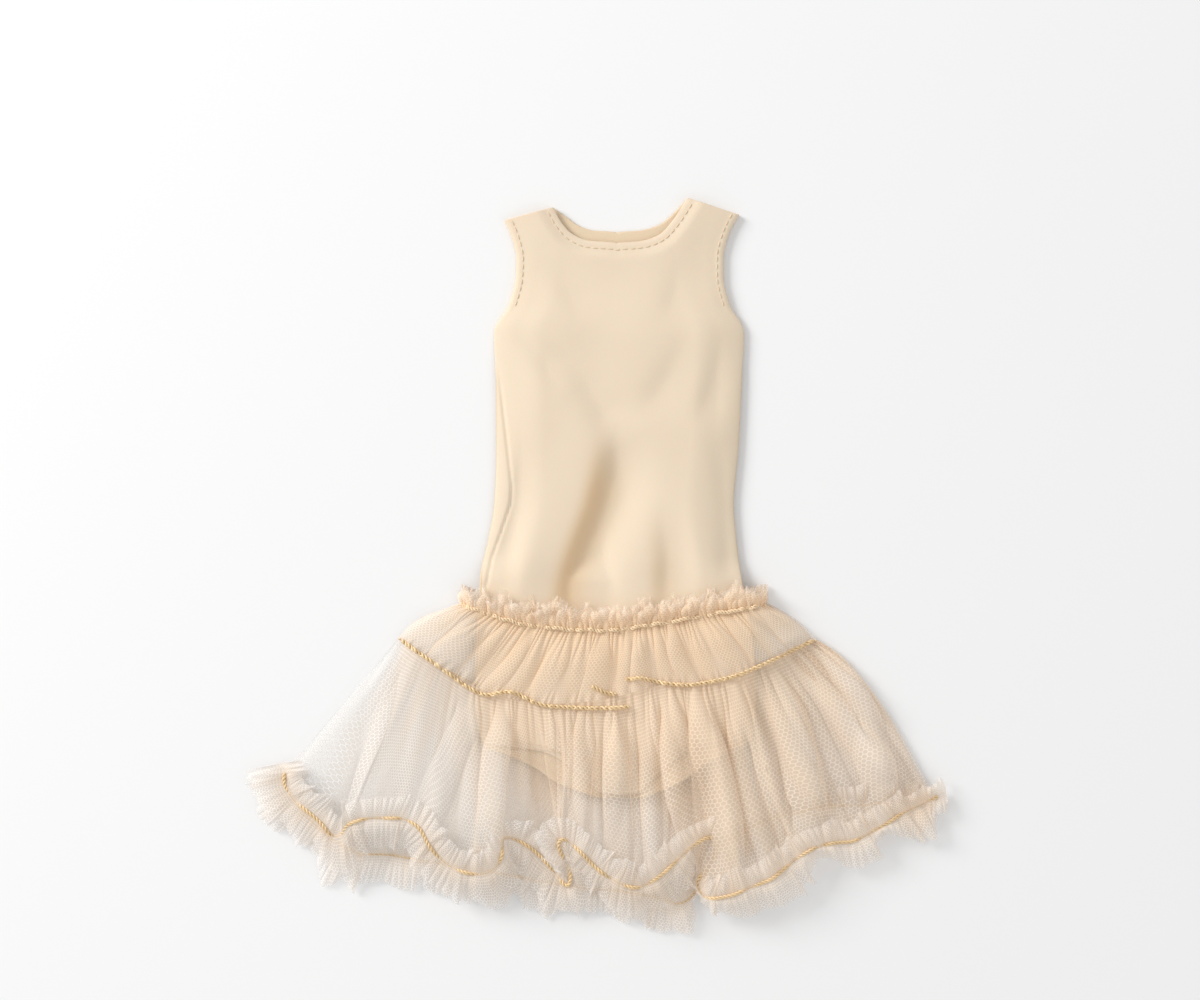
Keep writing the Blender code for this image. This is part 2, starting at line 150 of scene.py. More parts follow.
# The leotard's panels, row by row from the crotch to the straps
FRONT_ROWS = [
    joined((6.3, -75.4), (-0.5, -74.8), (13.0, -74.8)),
    joined((6.3, -69.5), (-10.9, -65.8), (22.1, -65.8)),
    joined((6.2, -64.5), (-20.1, -61.0), (30.5, -60.2)),
    joined((6.1, -60.0), (-31.0, -59.6), (40.5, -58.2)),
    joined((6.0, -55.0), (-38.8, -58.6), (49.4, -57.0)),
    joined((5.6, -44.0), (-41.3, -44.0), (51.3, -44.0)),
    joined((5.0, -28.0), (-41.6, -28.0), (50.6, -28.0)),
    joined((4.4, -13.0), (-40.4, -13.0), (48.2, -13.0)),
    joined((4.2, -3.0), (-39.9, -3.0), (46.4, -3.0)),
    joined((4.2, 9.0), (-37.3, 9.0), (44.9, 9.0)),
    joined((4.3, 21.0), (-35.3, 21.0), (44.0, 21.0)),
    joined((4.6, 40.0), (-34.6, 40.0), (45.6, 40.0)),
    joined((4.9, 60.0), (-34.8, 60.0), (46.6, 60.0)),
    joined((5.1, 77.0), (-35.4, 77.0), (47.4, 77.0)),
    joined((5.2, 91.0), (-30.6, 86.5), (42.8, 86.5)),
    joined((5.3, 106.9), (-28.2, 96.0), (40.6, 96.0)),
    Row((-4.3, 107.9), (-28.0, 102.0), (13.2, 107.7), (40.6, 102.4)),
    Row((-9.6, 110.2), (-28.8, 106.4), (19.2, 109.8), (41.6, 107.4)),
    Row((-13.2, 114.2), (-30.2, 110.6), (23.8, 114.6), (43.4, 112.2)),
    Row((-15.8, 118.9), (-32.0, 114.6), (28.6, 122.0), (45.8, 116.4)),
]
BACK_ROWS = (
    [
        joined((6.3, -76.6), (-2.6, -76.0), (15.2, -76.0)),
        joined((6.3, -72.0), (-15.5, -70.9), (27.0, -70.9)),
        joined((6.2, -67.5), (-21.5, -66.6), (33.5, -66.2)),
        joined((6.1, -62.0), (-31.0, -62.2), (42.0, -61.0)),
        joined((6.0, -56.0), (-38.8, -59.0), (49.4, -57.4)),
    ]
    + FRONT_ROWS[5:14]
    + [
        joined((5.2, 93.0), (-30.6, 86.5), (42.8, 86.5)),
        joined((5.3, 110.6), (-28.2, 96.0), (40.6, 96.0)),
        Row((-2.8, 111.4), (-28.0, 102.0), (13.4, 111.4), (40.6, 102.4)),
        Row((-7.4, 113.0), (-28.8, 106.4), (19.2, 113.2), (41.6, 107.4)),
        Row((-11.4, 115.8), (-30.2, 110.6), (24.0, 117.0), (43.4, 112.2)),
        Row((-15.8, 118.9), (-32.0, 114.6), (28.6, 122.0), (45.8, 116.4)),
    ]
)

LAST_ROW = len(FRONT_ROWS) - 1
NECK_ROW = 15.0

# The left side seam, which rolls a little on to the front above the waist
SIDE_SEAM = np.array(
    [
        (-41.0, -60.0), (-39.0, -12.0), (-36.0, 3.0), (-32.7, 12.0), (-29.7, 21.0),
        (-29.4, 26.0), (-31.5, 45.0), (-35.2, 76.0),
    ]
)

# Soft troughs (above 0) and ridges (below 0) of the leotard
FRONT_CREASES = [
    Crease(6.3, 38.0, -6.5, -14.0, 6.4, 4.5),
    Crease(21.5, 14.0, 21.5, -12.0, 4.8, 1.4),
    Crease(41.5, 34.0, 45.0, 0.0, 5.0, 1.6),
    Crease(-26.5, 34.0, -33.0, 2.0, 3.6, 1.3),
    Crease(-25.0, 10.0, -27.5, -8.0, 4.5, -0.9),
    Crease(3.0, 16.0, 6.5, -8.0, 6.0, -0.9),
    Crease(31.0, 14.0, 33.0, -8.0, 5.5, -0.9),
    Crease(-12.0, 72.0, 4.0, 46.0, 7.0, 1.3),
    Crease(29.0, 74.0, 16.0, 52.0, 7.0, 1.2),
    Crease(-26.0, 78.0, -16.0, 62.0, 5.0, 1.0),
    Crease(40.0, 70.0, 33.0, 50.0, 5.0, 0.9),
    Crease(-14.0, 98.0, -8.0, 84.0, 5.0, 0.6),
    Crease(27.0, 99.0, 22.0, 84.0, 5.0, 0.6),
]

# Painted shade: where the jersey's colour is made darker and warmer down in the two deepest
# troughs, standing in for the shade there
SHADED_TROUGHS = [
    Crease(-0.4, 38.0, -13.6, -14.0, 4.0, 1.0),
    Crease(17.5, 10.0, 17.5, -12.0, 3.4, 0.45),
]

# Folds of the front lower tier that the photo shows, from the tier seam down
CLEAR_FOLDS = [
    Fold(0.000, 0.020, 4.5, 1.6, 0.6, 0.4),
    Fold(0.010, 0.050, 5.0, 2.2, 0.7, 0.6),
    Fold(0.210, 0.150, 6.0, 1.8, 0.8, -0.7),
    Fold(0.280, 0.235, 6.5, 2.4, 0.8, -0.6),
    Fold(0.410, 0.410, 5.0, 2.6, 0.7, 0.5),
    Fold(0.505, 0.525, 5.5, 2.8, 0.7, 0.5),
    Fold(0.645, 0.640, 6.0, 3.4, 0.8, -0.5),
    Fold(0.700, 0.715, 6.5, 4.0, 0.8, 0.6),
    Fold(0.790, 0.775, 5.5, 3.2, 0.8, -0.6),
    Fold(0.870, 0.826, 7.0, 4.2, 0.8, 0.7),
    Fold(0.985, 0.920, 6.0, 3.6, 0.7, 0.6),
]


def ease(value):
    """Smooth step from 0 to 1."""
    value = np.clip(value, 0.0, 1.0)
    return value * value * (3.0 - 2.0 * value)


def through(values, share):
    """Rows of values a share of the way along, on a smooth curve."""
    values = np.asarray(values, float)
    spot = np.clip(share, 0.0, 1.0) * (len(values) - 1)
    index = np.minimum(spot.astype(int), len(values) - 2)
    t = spot - index
    if values.ndim > 1:
        t = t[..., None]
    last = len(values) - 1
    a, b = values[np.maximum(index - 1, 0)], values[index]
    c, d = values[index + 1], values[np.minimum(index + 2, last)]
    return 0.5 * (
        2 * b
        + (c - a) * t
        + (2 * a - 5 * b + 4 * c - d) * t**2
        + (3 * b - a - 3 * c + d) * t**3
    )


def steady(values, share):
    """As through, but never past its neighbours."""
    values = np.asarray(values, float)
    spot = np.clip(share, 0.0, 1.0) * (len(values) - 1)
    index = np.minimum(spot.astype(int), len(values) - 2)
    t = spot - index
    steps = np.diff(values)
    before, after = steps[:-1], steps[1:]
    same = before * after > 0.0
    inner = np.where(same, 2 * before * after / np.where(same, before + after, 1.0), 0.0)
    slopes = np.concatenate([steps[:1], inner, steps[-1:]])
    return (
        values[index] * (1 + 2 * t) * (1 - t) ** 2
        + slopes[index] * t * (1 - t) ** 2
        + values[index + 1] * t * t * (3 - 2 * t)
        + slopes[index + 1] * t * t * (t - 1)
    )


def hem_front(u):
    """Place of the front hem, with its height over the back, at tier seam share u."""
    table = np.array([(spot.x, spot.y, spot.z) for spot in HEM])
    stations = np.interp(u, [spot.u for spot in HEM], np.linspace(0, 1, len(HEM)))
    return through(table, stations)


def unit(ways):
    """The same directions, each of length 1."""
    return ways / np.maximum(np.linalg.norm(ways, axis=-1, keepdims=True), 1e-9)


def tangent(points):
    """Unit direction along the first axis of a grid of places, in plan."""
    return unit(np.gradient(points[..., :2], axis=0))


def smoothed(values, reach):
    """Running mean along the first axis."""
    pad = np.concatenate(
        [np.repeat(values[:1], reach, 0), values, np.repeat(values[-1:], reach, 0)]
    )
    total = np.cumsum(np.concatenate([np.zeros_like(pad[:1]), pad]), axis=0)
    width = 2 * reach + 1
    return (total[width:] - total[:-width]) / width


def arc(points):
    """Length run along the first axis."""
    step = np.linalg.norm(np.diff(points, axis=0), axis=-1)
    return np.concatenate([np.zeros_like(step[:1]), np.cumsum(step, axis=0)])


def uneven(u, count, seed, drift=0.6):
    """Phase in radians of count uneven waves."""
    maker = np.random.default_rng(seed)
    phase = TAU * count * u
    for turn in (3.0, 7.0, 13.0, 23.0):
        phase = phase + drift * maker.uniform(0.5, 1.4) * np.sin(
            TAU * turn * u + maker.uniform(0, TAU)
        )
    return phase


def patchy(u, seed, low=0.25):
    """Slow uneven change between low and 1."""
    maker = np.random.default_rng(seed)
    total = np.zeros_like(u)
    for turn in (4.0, 9.0, 15.0):
        total = total + np.sin(TAU * turn * u + maker.uniform(0, TAU))
    return low + (1.0 - low) * (0.5 + 0.5 * np.tanh(total))


def crumple(u, t, count, seed):
    """Uneven crumpling, about -1 to 1, sideways and up, a quarter turn apart."""
    maker = np.random.default_rng(seed)
    phases = [
        TAU * (count * maker.uniform(0.45, 1.5) * u + maker.uniform(-0.8, 0.8) * t)
        + maker.uniform(0, TAU)
        for _ in range(7)
    ]
    sideways = sum(np.sin(phase) for phase in phases) / 2.6
    return sideways, sum(np.cos(phase) for phase in phases) / 2.6


def grid_faces(rows, columns):
    """Quads of a grid of points."""
    index = np.arange(rows * columns).reshape(rows, columns)
    return np.stack(
        [index[:-1, :-1], index[1:, :-1], index[1:, 1:], index[:-1, 1:]], axis=-1
    ).reshape(-1, 4)


def make_piece(name, points, faces, material, uv=None, marks=None):
    """Mesh object from places in millimetres. marks are named values of the places."""
    mesh = bpy.data.meshes.new(name)
    points = np.asarray(points, float).reshape(-1, 3) * MM
    mesh.from_pydata(points.tolist(), [], [list(face) for face in faces])
    if uv is not None:
        layer = mesh.uv_layers.new(name="Cloth")
        loops = np.empty(len(mesh.loops), np.int32)
        mesh.loops.foreach_get("vertex_index", loops)
        layer.data.foreach_set("uv", (uv.reshape(-1, 2)[loops] * MM).ravel())
    for label, values in (marks or {}).items():
        held = mesh.attributes.new(label, "FLOAT", "POINT")
        held.data.foreach_set("value", np.asarray(values, float).ravel())
    mesh.shade_smooth()
    piece = bpy.data.objects.new(name, mesh)
    bpy.context.scene.collection.objects.link(piece)
    mesh.materials.append(material)
    return piece


def make_cloth(name, sheets, material):
    """One net piece from grids of (places, cloth coordinates, how full it lies, how warm its
    colour is, fray); on the lower tiers how full and how warm also carry painted shade.
    """
    faces, start = [], 0
    for points, *_ in sheets:
        rows, columns = points.shape[:2]
        faces.append(grid_faces(rows, columns) + start)
        start += rows * columns
    points = np.concatenate([sheet[0].reshape(-1, 3) for sheet in sheets])
    uv = np.concatenate([sheet[1].reshape(-1, 2) for sheet in sheets])
    marks = {
        label: np.concatenate([(sheet[at] + 0.0 * sheet[2]).ravel() for sheet in sheets])
        for at, label in ((2, "fullness_and_shade"), (3, "warmth_and_shade"), (4, "fray"))
    }
    return make_piece(name, points, np.concatenate(faces), material, uv, marks)


def make_tubes(name, paths, radius, material, sides=6):
    """Threads: a closed tube along each path, in one mesh. Paths in millimetres."""
    verts, faces = [], []
    for path in paths:
        path = np.asarray(path, float)
        ahead = unit(np.gradient(path, axis=0))
        across = unit(np.cross(ahead, (0.0, 0.0, 1.0)))
        up = np.cross(across, ahead)
        turn = np.arange(sides) * TAU / sides
        girth = np.full(len(path), radius)
        girth[[0, -1]] *= 0.45
        ring = (
            path[:, None]
            + across[:, None] * (np.cos(turn)[None, :, None] * girth[:, None, None])
            + up[:, None] * (np.sin(turn)[None, :, None] * girth[:, None, None])
        )
        start = sum(len(v) for v in verts)
        verts.append(ring.reshape(-1, 3))
        count = len(path)
        for i in range(count - 1):
            for j in range(sides):
                k = (j + 1) % sides
                a, b = start + i * sides, start + (i + 1) * sides
                faces.append((a + j, a + k, b + k, b + j))
        faces.append(tuple(start + j for j in reversed(range(sides))))
        faces.append(tuple(start + (count - 1) * sides + j for j in range(sides)))
    return make_piece(name, np.concatenate(verts), faces, material)


# Materials


def new_group(name, inputs, outputs):
    group = bpy.data.node_groups.new(name, "ShaderNodeTree")
    for label, kind, value in inputs:
        socket = group.interface.new_socket(label, in_out="INPUT", socket_type=kind)
        if value is not None:
            socket.default_value = value
    for label, kind in outputs:
        group.interface.new_socket(label, in_out="OUTPUT", socket_type=kind)
    return group, group.nodes.new("NodeGroupInput"), group.nodes.new("NodeGroupOutput")


class Wire:
    """Short way to make and join nodes in one tree."""

    def __init__(self, tree):
        self.tree = tree

    def node(self, kind, **settings):
        made = self.tree.nodes.new(kind)
        for key, value in settings.items():
            setattr(made, key, value)
        return made

    def put(self, value, socket):
        if isinstance(value, bpy.types.NodeSocket):
            self.tree.links.new(value, socket)
        else:
            socket.default_value = value

    def math(self, operation, a, b=0.0, c=0.0, clamp=False):
        made = self.node("ShaderNodeMath", operation=operation, use_clamp=clamp)
        for value, socket in zip((a, b, c), made.inputs):
            self.put(value, socket)
        return made.outputs[0]

    def vector(self, operation, a, b=(0.0, 0.0, 0.0), out=0):
        made = self.node("ShaderNodeVectorMath", operation=operation)
        self.put(a, made.inputs[0])
        self.put(b, made.inputs[1])
        return made.outputs[out]

    def mix(self, factor, a, b):
        made = self.node("ShaderNodeMix", data_type="RGBA")
        self.put(factor, made.inputs[0])
        self.put(a, made.inputs[6])
        self.put(b, made.inputs[7])
        return made.outputs[2]

    def fade(self, value, low, high):
        """1 where the value is below low, smoothly down to 0 where it is over high."""
        made = self.node("ShaderNodeMapRange", interpolation_type="SMOOTHSTEP")
        for item, socket in zip((value, low, high, 1.0, 0.0), made.inputs):
            self.put(item, socket)
        return made.outputs[0]

    def mark(self, label):
        """A value that make_piece gave to each place of the mesh."""
        return self.node("ShaderNodeAttribute", attribute_name=label).outputs["Fac"]

    def noise(self, vector, scale, detail=2.0):
        made = self.node("ShaderNodeTexNoise")
        self.put(vector, made.inputs["Vector"])
        self.put(scale, made.inputs["Scale"])
        self.put(detail, made.inputs["Detail"])
        return made.outputs[0]


def new_material(name):
    """A new material, with the wire for its nodes and its shader."""
    material = bpy.data.materials.new(name)
    material.use_nodes = True
    return material, Wire(material.node_tree), material.node_tree.nodes["Principled BSDF"]


def net_mesh_group():
    """Six-sided net: thread mask from cloth coordinates in metres."""
    group, inside, outside = new_group(
        "Net mesh",
        [
            ("Cloth", "NodeSocketVector", None),
            ("Pitch", "NodeSocketFloat", 0.0013),
            ("Thread", "NodeSocketFloat", 0.16),
        ],
        [("Thread mask", "NodeSocketFloat")],
    )
    w = Wire(group)
    wobble = w.node("ShaderNodeTexNoise")
    w.put(inside.outputs["Cloth"], wobble.inputs["Vector"])
    wobble.inputs["Scale"].default_value = 260.0
    moved = w.vector("SUBTRACT", wobble.outputs[1], (0.5, 0.5, 0.5))
    moved = w.vector("MULTIPLY", moved, (0.0006, 0.0006, 0.0))
    moved = w.vector("ADD", moved, inside.outputs["Cloth"])
    scale = w.node("ShaderNodeVectorMath", operation="SCALE")
    w.put(moved, scale.inputs[0])
    w.put(w.math("DIVIDE", 1.0, inside.outputs["Pitch"]), scale.inputs["Scale"])
    cell = (1.0, math.sqrt(3.0), 1.0)
    half = (0.5, math.sqrt(3.0) / 2.0, 0.0)
    flat = w.vector("MULTIPLY", scale.outputs[0], (1.0, 1.0, 0.0))
    flat = w.vector("ADD", flat, (400.0, 400.0 * math.sqrt(3.0), 0.0))
    first = w.vector("SUBTRACT", w.vector("MODULO", flat, cell), half)
    second = w.vector("MODULO", w.vector("SUBTRACT", flat, half), cell)
    second = w.vector("SUBTRACT", second, half)
    nearer = w.math(
        "LESS_THAN",
        w.vector("LENGTH", first, out=1),
        w.vector("LENGTH", second, out=1),
    )
    pick = w.node("ShaderNodeMix", data_type="VECTOR")
    w.put(nearer, pick.inputs[0])
    w.put(second, pick.inputs[4])
    w.put(first, pick.inputs[5])
    side = w.vector("ABSOLUTE", pick.outputs[1])
    slant = w.vector("DOT_PRODUCT", side, (0.5, math.sqrt(3.0) / 2.0, 0.0), out=1)
    flat_side = w.vector("DOT_PRODUCT", side, (1.0, 0.0, 0.0), out=1)
    edge = w.math("SUBTRACT", 0.5, w.math("MAXIMUM", slant, flat_side))
    thread = inside.outputs["Thread"]
    w.put(w.fade(edge, w.math("MULTIPLY", thread, 0.35), thread), outside.inputs[0])
    return group


def streak_group():
    """Soft uneven streaks down the cloth, 0 to 1."""
    group, inside, outside = new_group(
        "Cloth streaks",
        [("Cloth", "NodeSocketVector", None)],
        [("Streak", "NodeSocketFloat")],
    )
    w = Wire(group)
    long_way = w.vector("MULTIPLY", inside.outputs["Cloth"], (170.0, 30.0, 1.0))
    w.put(w.noise(long_way, 1.0, 3.0), outside.inputs[0])
    return group


NET_MESH = net_mesh_group()
STREAKS = streak_group()


def net_material(name, colour, deep, haze, streaks=1.0, pitch=0.00105):
    """Soft net: its colour thin and gathered, its holes' haze, and how streaky it lies. The
    gathered colour also serves as painted shade where the warm mark carries shade.
    """
    material, w, shader = new_material(name)
    cloth = w.node("ShaderNodeUVMap", uv_map="Cloth").outputs[0]
    mesh = w.node("ShaderNodeGroup", node_tree=NET_MESH)
    w.put(cloth, mesh.inputs["Cloth"])
    mesh.inputs["Pitch"].default_value = pitch
    mesh.inputs["Thread"].default_value = 0.1
    # How full the net lies; on the lower tiers also raised as painted shade
    full = w.mark("fullness_and_shade")
    streak = w.node("ShaderNodeGroup", node_tree=STREAKS)
    w.put(cloth, streak.inputs[0])
    uneven_lay = w.math("MULTIPLY_ADD", streak.outputs[0], streaks, 1.0 - 0.5 * streaks)
    gathered = w.math("MULTIPLY", full, uneven_lay)
    open_part = w.math("POWER", 1.0 - haze, w.math("ADD", gathered, 1.0))
    thread_cover = w.math("MINIMUM", w.math("MULTIPLY_ADD", full, 0.22, 0.14), 0.5)
    threads = w.math("MULTIPLY", mesh.outputs[0], thread_cover)
    clear = w.math("MULTIPLY", open_part, w.math("SUBTRACT", 1.0, threads))
    hairs = w.noise(w.vector("MULTIPLY", cloth, (1500.0, 350.0, 1.0)), 1.0, 3.0)
    unworn = w.fade(w.math("MULTIPLY_ADD", w.mark("fray"), 0.5, hairs), 0.62, 0.92)
    kept = w.math("SUBTRACT", 1.0, clear, clamp=True)
    w.put(w.math("MULTIPLY", kept, unworn), shader.inputs["Alpha"])
    streaky = w.math("MULTIPLY", streak.outputs[0], 0.8)
    # Gathered colour and painted shade: the warm mark mixes the thin colour towards the deep one
    depth = w.math("MULTIPLY_ADD", w.mark("warmth_and_shade"), 0.38, streaky)
    lighter = w.math("MULTIPLY_ADD", mesh.outputs[0], 0.3, 0.3)
    depth = w.math("SUBTRACT", depth, lighter, clamp=True)
    w.put(w.mix(depth, (*colour, 1.0), (*deep, 1.0)), shader.inputs["Base Color"])
    shader.inputs["Roughness"].default_value = 0.7
    shader.inputs["Specular IOR Level"].default_value = 0.2
    shader.inputs["Sheen Weight"].default_value = 0.5
    shader.inputs["Sheen Roughness"].default_value = 0.5
    return material


def jersey_material(name, colour, shade, painted_shade):
    """Smooth stretch jersey: fine grain, slightly uneven dye, and painted shade, darker and
    warmer, in its deepest troughs.
    """
    material, w, shader = new_material(name)
    place = w.node("ShaderNodeTexCoord").outputs["Object"]
    patch = w.noise(place, 35.0, 3.0)
    grain = w.noise(w.vector("MULTIPLY", place, (1.0, 0.55, 1.0)), 3200.0, 2.0)
    dyed = w.mix(patch, (*shade, 1.0), (*colour, 1.0))
    # Painted shade: the trough mark mixes the dyed colour towards the darker, warmer shade colour
    w.put(w.mix(w.mark("painted_shade"), dyed, (*painted_shade, 1.0)), shader.inputs["Base Color"])
    bump = w.node("ShaderNodeBump")
    bump.inputs["Strength"].default_value = 0.25
    bump.inputs["Distance"].default_value = 0.00015
    w.put(grain, bump.inputs["Height"])
    w.put(bump.outputs[0], shader.inputs["Normal"])
    shader.inputs["Roughness"].default_value = 0.78
    shader.inputs["Specular IOR Level"].default_value = 0.3
    shader.inputs["Sheen Weight"].default_value = 0.25
    shader.inputs["Subsurface Weight"].default_value = 0.08
    shader.inputs["Subsurface Scale"].default_value = 0.002
    return material


def thread_material(name, colour, roughness, metallic=0.0):
    """Thread: fine lengthways variation in tone."""
    material, w, shader = new_material(name)
    place = w.node("ShaderNodeTexCoord").outputs["Object"]
    tone = w.noise(place, 420.0, 3.0)
    dark = tuple(c * 0.84 for c in colour)
    w.put(w.mix(tone, (*dark, 1.0), (*colour, 1.0)), shader.inputs["Base Color"])
    shader.inputs["Roughness"].default_value = roughness
    shader.inputs["Metallic"].default_value = metallic
    return material


# Each jersey's third colour is painted shade, laid into its deepest troughs
JERSEY = jersey_material(
    "Jersey", (0.835, 0.69, 0.525), (0.81, 0.66, 0.495), (0.77, 0.56, 0.35)
)
# Painted shade: the back panel's jersey is a darker copy of the front's, for the shade inside the
# garment seen through the neck
JERSEY_BACK_SHADED = jersey_material(
    "Jersey back", (0.82, 0.66, 0.47), (0.79, 0.62, 0.43), (0.72, 0.52, 0.32)
)
NET_FRONT = net_material("Net front", (0.92, 0.91, 0.89), (0.97, 0.77, 0.57), haze=0.17)
NET_UPPER = net_material(
    "Net upper", (0.94, 0.88, 0.81), (0.99, 0.75, 0.51), haze=0.21, pitch=0.001
)
# Painted shade: the back layers use a darker copy of the net, most of all in its gathered colour,
# for the shade under the front net
NET_BACK_SHADED = net_material(
    "Net back", (0.88, 0.86, 0.83), (0.84, 0.61, 0.40), haze=0.14, pitch=0.001
)
NET_RUFFLE = net_material(
    "Net ruffle", (0.90, 0.86, 0.82), (0.94, 0.77, 0.60), haze=0.16, streaks=1.8
)
GOLD = thread_material("Gold thread", (0.93, 0.70, 0.41), roughness=0.4, metallic=0.15)
PEACH = thread_material("Peach thread", (1.0, 0.78, 0.52), roughness=0.7)
CREAM = thread_material("Cream thread", (0.84, 0.68, 0.48), roughness=0.7)


# Leotard


def edge_line(rows, side, up):
    """Places on one edge of a panel, at shares of the way up its rows."""
    return np.stack([steady([getattr(row, side)[i] for row in rows], up) for i in (0, 1)], -1)


def leotard_places(rows, half, across, up):
    """Places on a half, and its width: across is 0 at the middle, 1 at the outer edge."""
    inner = edge_line(rows, half + "_in", up)
    outer = edge_line(rows, half + "_out", up)
    below_neck = (up <= NECK_ROW / LAST_ROW)[..., None]
    inner = np.where(below_neck, edge_line(rows, "left_in", up), inner)
    return inner + (outer - inner) * across[..., None], np.linalg.norm(outer - inner, axis=-1)


def crease_depth(creases, x, y):
    """Depth of the creases at places in plan: each has one steeper bank."""
    total = np.zeros_like(x)
    for crease in creases:
        run_x, run_y = crease.x1 - crease.x0, crease.y1 - crease.y0
        length = math.hypot(run_x, run_y)
        along = ((x - crease.x0) * run_x + (y - crease.y0) * run_y) / length
        aside = ((x - crease.x0) * run_y - (y - crease.y0) * run_x) / length
        bend = 1.2 * np.sin(along / 9.0)
        width = crease.half_width * np.where(aside + bend > 0.0, 0.8, 1.7)
        ends = ease((along + 12.0) / 28.0) * ease((length + 7.0 - along) / 14.0)
        total += crease.depth * ends * np.exp(-(((aside + bend) / width) ** 2))
    return total


def lift_leotard(y):
    """How far the leotard rises under the skirt, where it lies on the back net."""
    return 1.9 * ease((3.5 - y) / 9.0)


def neck_edge(rows, count=60):
    """The neck's edge in plan, from the left strap down and up to the right one."""
    up = np.linspace(NECK_ROW / LAST_ROW, 1.0, count)
    left, right = (edge_line(rows, side, up) for side in ("left_in", "right_in"))
    return smoothed(np.concatenate([left[::-1], right[1:]]), 2)


def distance_to(line, x, y):
    """How far each place is from a line's places, in plan."""
    apart = np.hypot(x[..., None] - line[:, 0], y[..., None] - line[:, 1])
    return apart.min(axis=-1)


def front_height(x, y, from_edge, from_neck, up):
    """Top of the front panel, with its turned edges and side seam, all in millimetres."""
    base = lift_leotard(y) + 1.7
    full = 3.5 - 1.15 * lift_leotard(y) - 1.7 * ease((y - 74.0) / 26.0)
    roll = np.sqrt(np.clip(1.0 - (1.0 - np.clip(from_edge / 7.0, 0, 1)) ** 2, 0, 1))
    puff = full * (0.35 * roll + 0.65 * ease(from_edge / 16.0))
    puff = puff * (0.3 + 0.7 * ease(from_neck / 6.0))
    z = base - 0.6 * (1.0 - roll) + puff
    z = z - crease_depth(FRONT_CREASES, x, y) * ease(from_edge / 9.0)
    z = z + 0.10 * np.sin(x / 6.0 + y / 17.0) + 0.07 * np.sin(x / 3.7 - y / 9.0 + 1.0)
    floor = base - 0.4
    z = floor + np.logaddexp(0.0, (z - floor) * 3.0) / 3.0
    hem = np.exp(-((from_neck - 1.1) ** 2) / 1.3)
    hem = hem + 0.8 * np.exp(-((from_edge - 1.1) ** 2) / 1.6) * (
        ease((up - 13.2 / LAST_ROW) * LAST_ROW) + ease((3.6 / LAST_ROW - up) * LAST_ROW)
    )
    z = z + 0.32 * hem
    seam_x = np.interp(y, SIDE_SEAM[:, 1], SIDE_SEAM[:, 0])
    seam = np.exp(-(((x - seam_x) / 0.45) ** 2)) * ease((y + 12) / 8)
    return z - 0.55 * seam * ease((70.0 - y) / 20.0)


def leotard_panel(name, rows, height, material, columns, steps):
    """Both halves of a panel, joined down the middle."""
    points, sunk = [], []
    for half in ("left", "right"):
        up, across = np.meshgrid(
            np.linspace(0, 1, steps), np.linspace(0, 1, columns), indexing="ij"
        )
        across = 1.0 - (1.0 - across) ** 1.25
        places, width = leotard_places(rows, half, across, up)
        x, y = places[..., 0], places[..., 1]
        from_neck = distance_to(neck_edge(rows), x, y)
        z = height(x, y, (1 - across) * width, from_neck, up)
        # Painted shade mark: how deep each place lies in the two deepest troughs, where the
        # material darkens the jersey
        painted_shade = np.clip(crease_depth(SHADED_TROUGHS, x, y), 0.0, 1.0)
        grid = np.concatenate([places, z[..., None], painted_shade[..., None]], axis=-1)
        grid = grid if half == "right" else grid[:, ::-1]
        points.append(grid[..., :3])
        sunk.append(grid[..., 3].ravel())
    faces = grid_faces(steps, columns)
    faces = np.concatenate([faces, faces + steps * columns])[:, ::-1]
    places = np.concatenate([p.reshape(-1, 3) for p in points])
    marks = {"painted_shade": np.concatenate(sunk)}
    piece = make_piece(name, places, faces, material, marks=marks)
    weld = piece.modifiers.new("Join", "WELD")
    weld.merge_threshold = 0.00002
    wall = piece.modifiers.new("Cloth", "SOLIDIFY")
    wall.thickness = 0.0007
    wall.offset = -1.0
    return piece, points


def back_height(x, y, from_edge, from_neck, up):
    """The back panel, nearly flat, with soft waves where the neck shows its inside."""
    z = lift_leotard(y) + 0.8 + 0.9 * ease((6.0 - from_edge) / 6.0) * ease((80.0 - y) / 20.0)
    inside = ease((up - 14.0 / LAST_ROW) * LAST_ROW)
    return z + 0.25 * np.sin(x / 7.0 + 0.5) * np.sin(y / 5.0) * inside * ease(from_neck / 6.0)


leotard_front, front_points = leotard_panel(
    "leotard_front_cloth", FRONT_ROWS, front_height, JERSEY, columns=60, steps=300
)
leotard_back, _ = leotard_panel(
    "leotard_back_cloth", BACK_ROWS, back_height, JERSEY_BACK_SHADED, columns=36, steps=180
)


def top_of(points):
    """Gives a function for the top height of a cloth's places, in plan."""
    cloud = points.reshape(-1, 3)
    finder = kdtree.KDTree(len(cloud))
    for number, spot in enumerate(cloud):
        finder.insert(Vector((spot[0], spot[1], 0.0)), number)
    finder.balance()

    def top(x, y, count=3):
        near = finder.find_n(Vector((x, y, 0.0)), count)
        return float(np.mean([cloud[number][2] for _, number, _ in near]))

    return top


front_top = top_of(np.concatenate([p.reshape(-1, 3) for p in front_points]))


def stitches(path, seed):
    """Short raised stitches along a line of places in plan."""
    path = np.asarray(path, float)
    run = arc(path)
    maker = np.random.default_rng(seed)
    made = []
    for start in np.arange(0.3, run[-1] - STITCH_LENGTH, STITCH_PITCH):
        spots = []
        begin = start + maker.uniform(-0.12, 0.12)
        for share in np.linspace(0, 1, 6):
            at = begin + share * STITCH_LENGTH
            x, y = np.interp(at, run, path[:, 0]), np.interp(at, run, path[:, 1])
            z = front_top(x, y) + STITCH_RISE * math.sin(math.pi * share) - 0.02
            spots.append((x, y, z))
        made.append(spots)
    return made


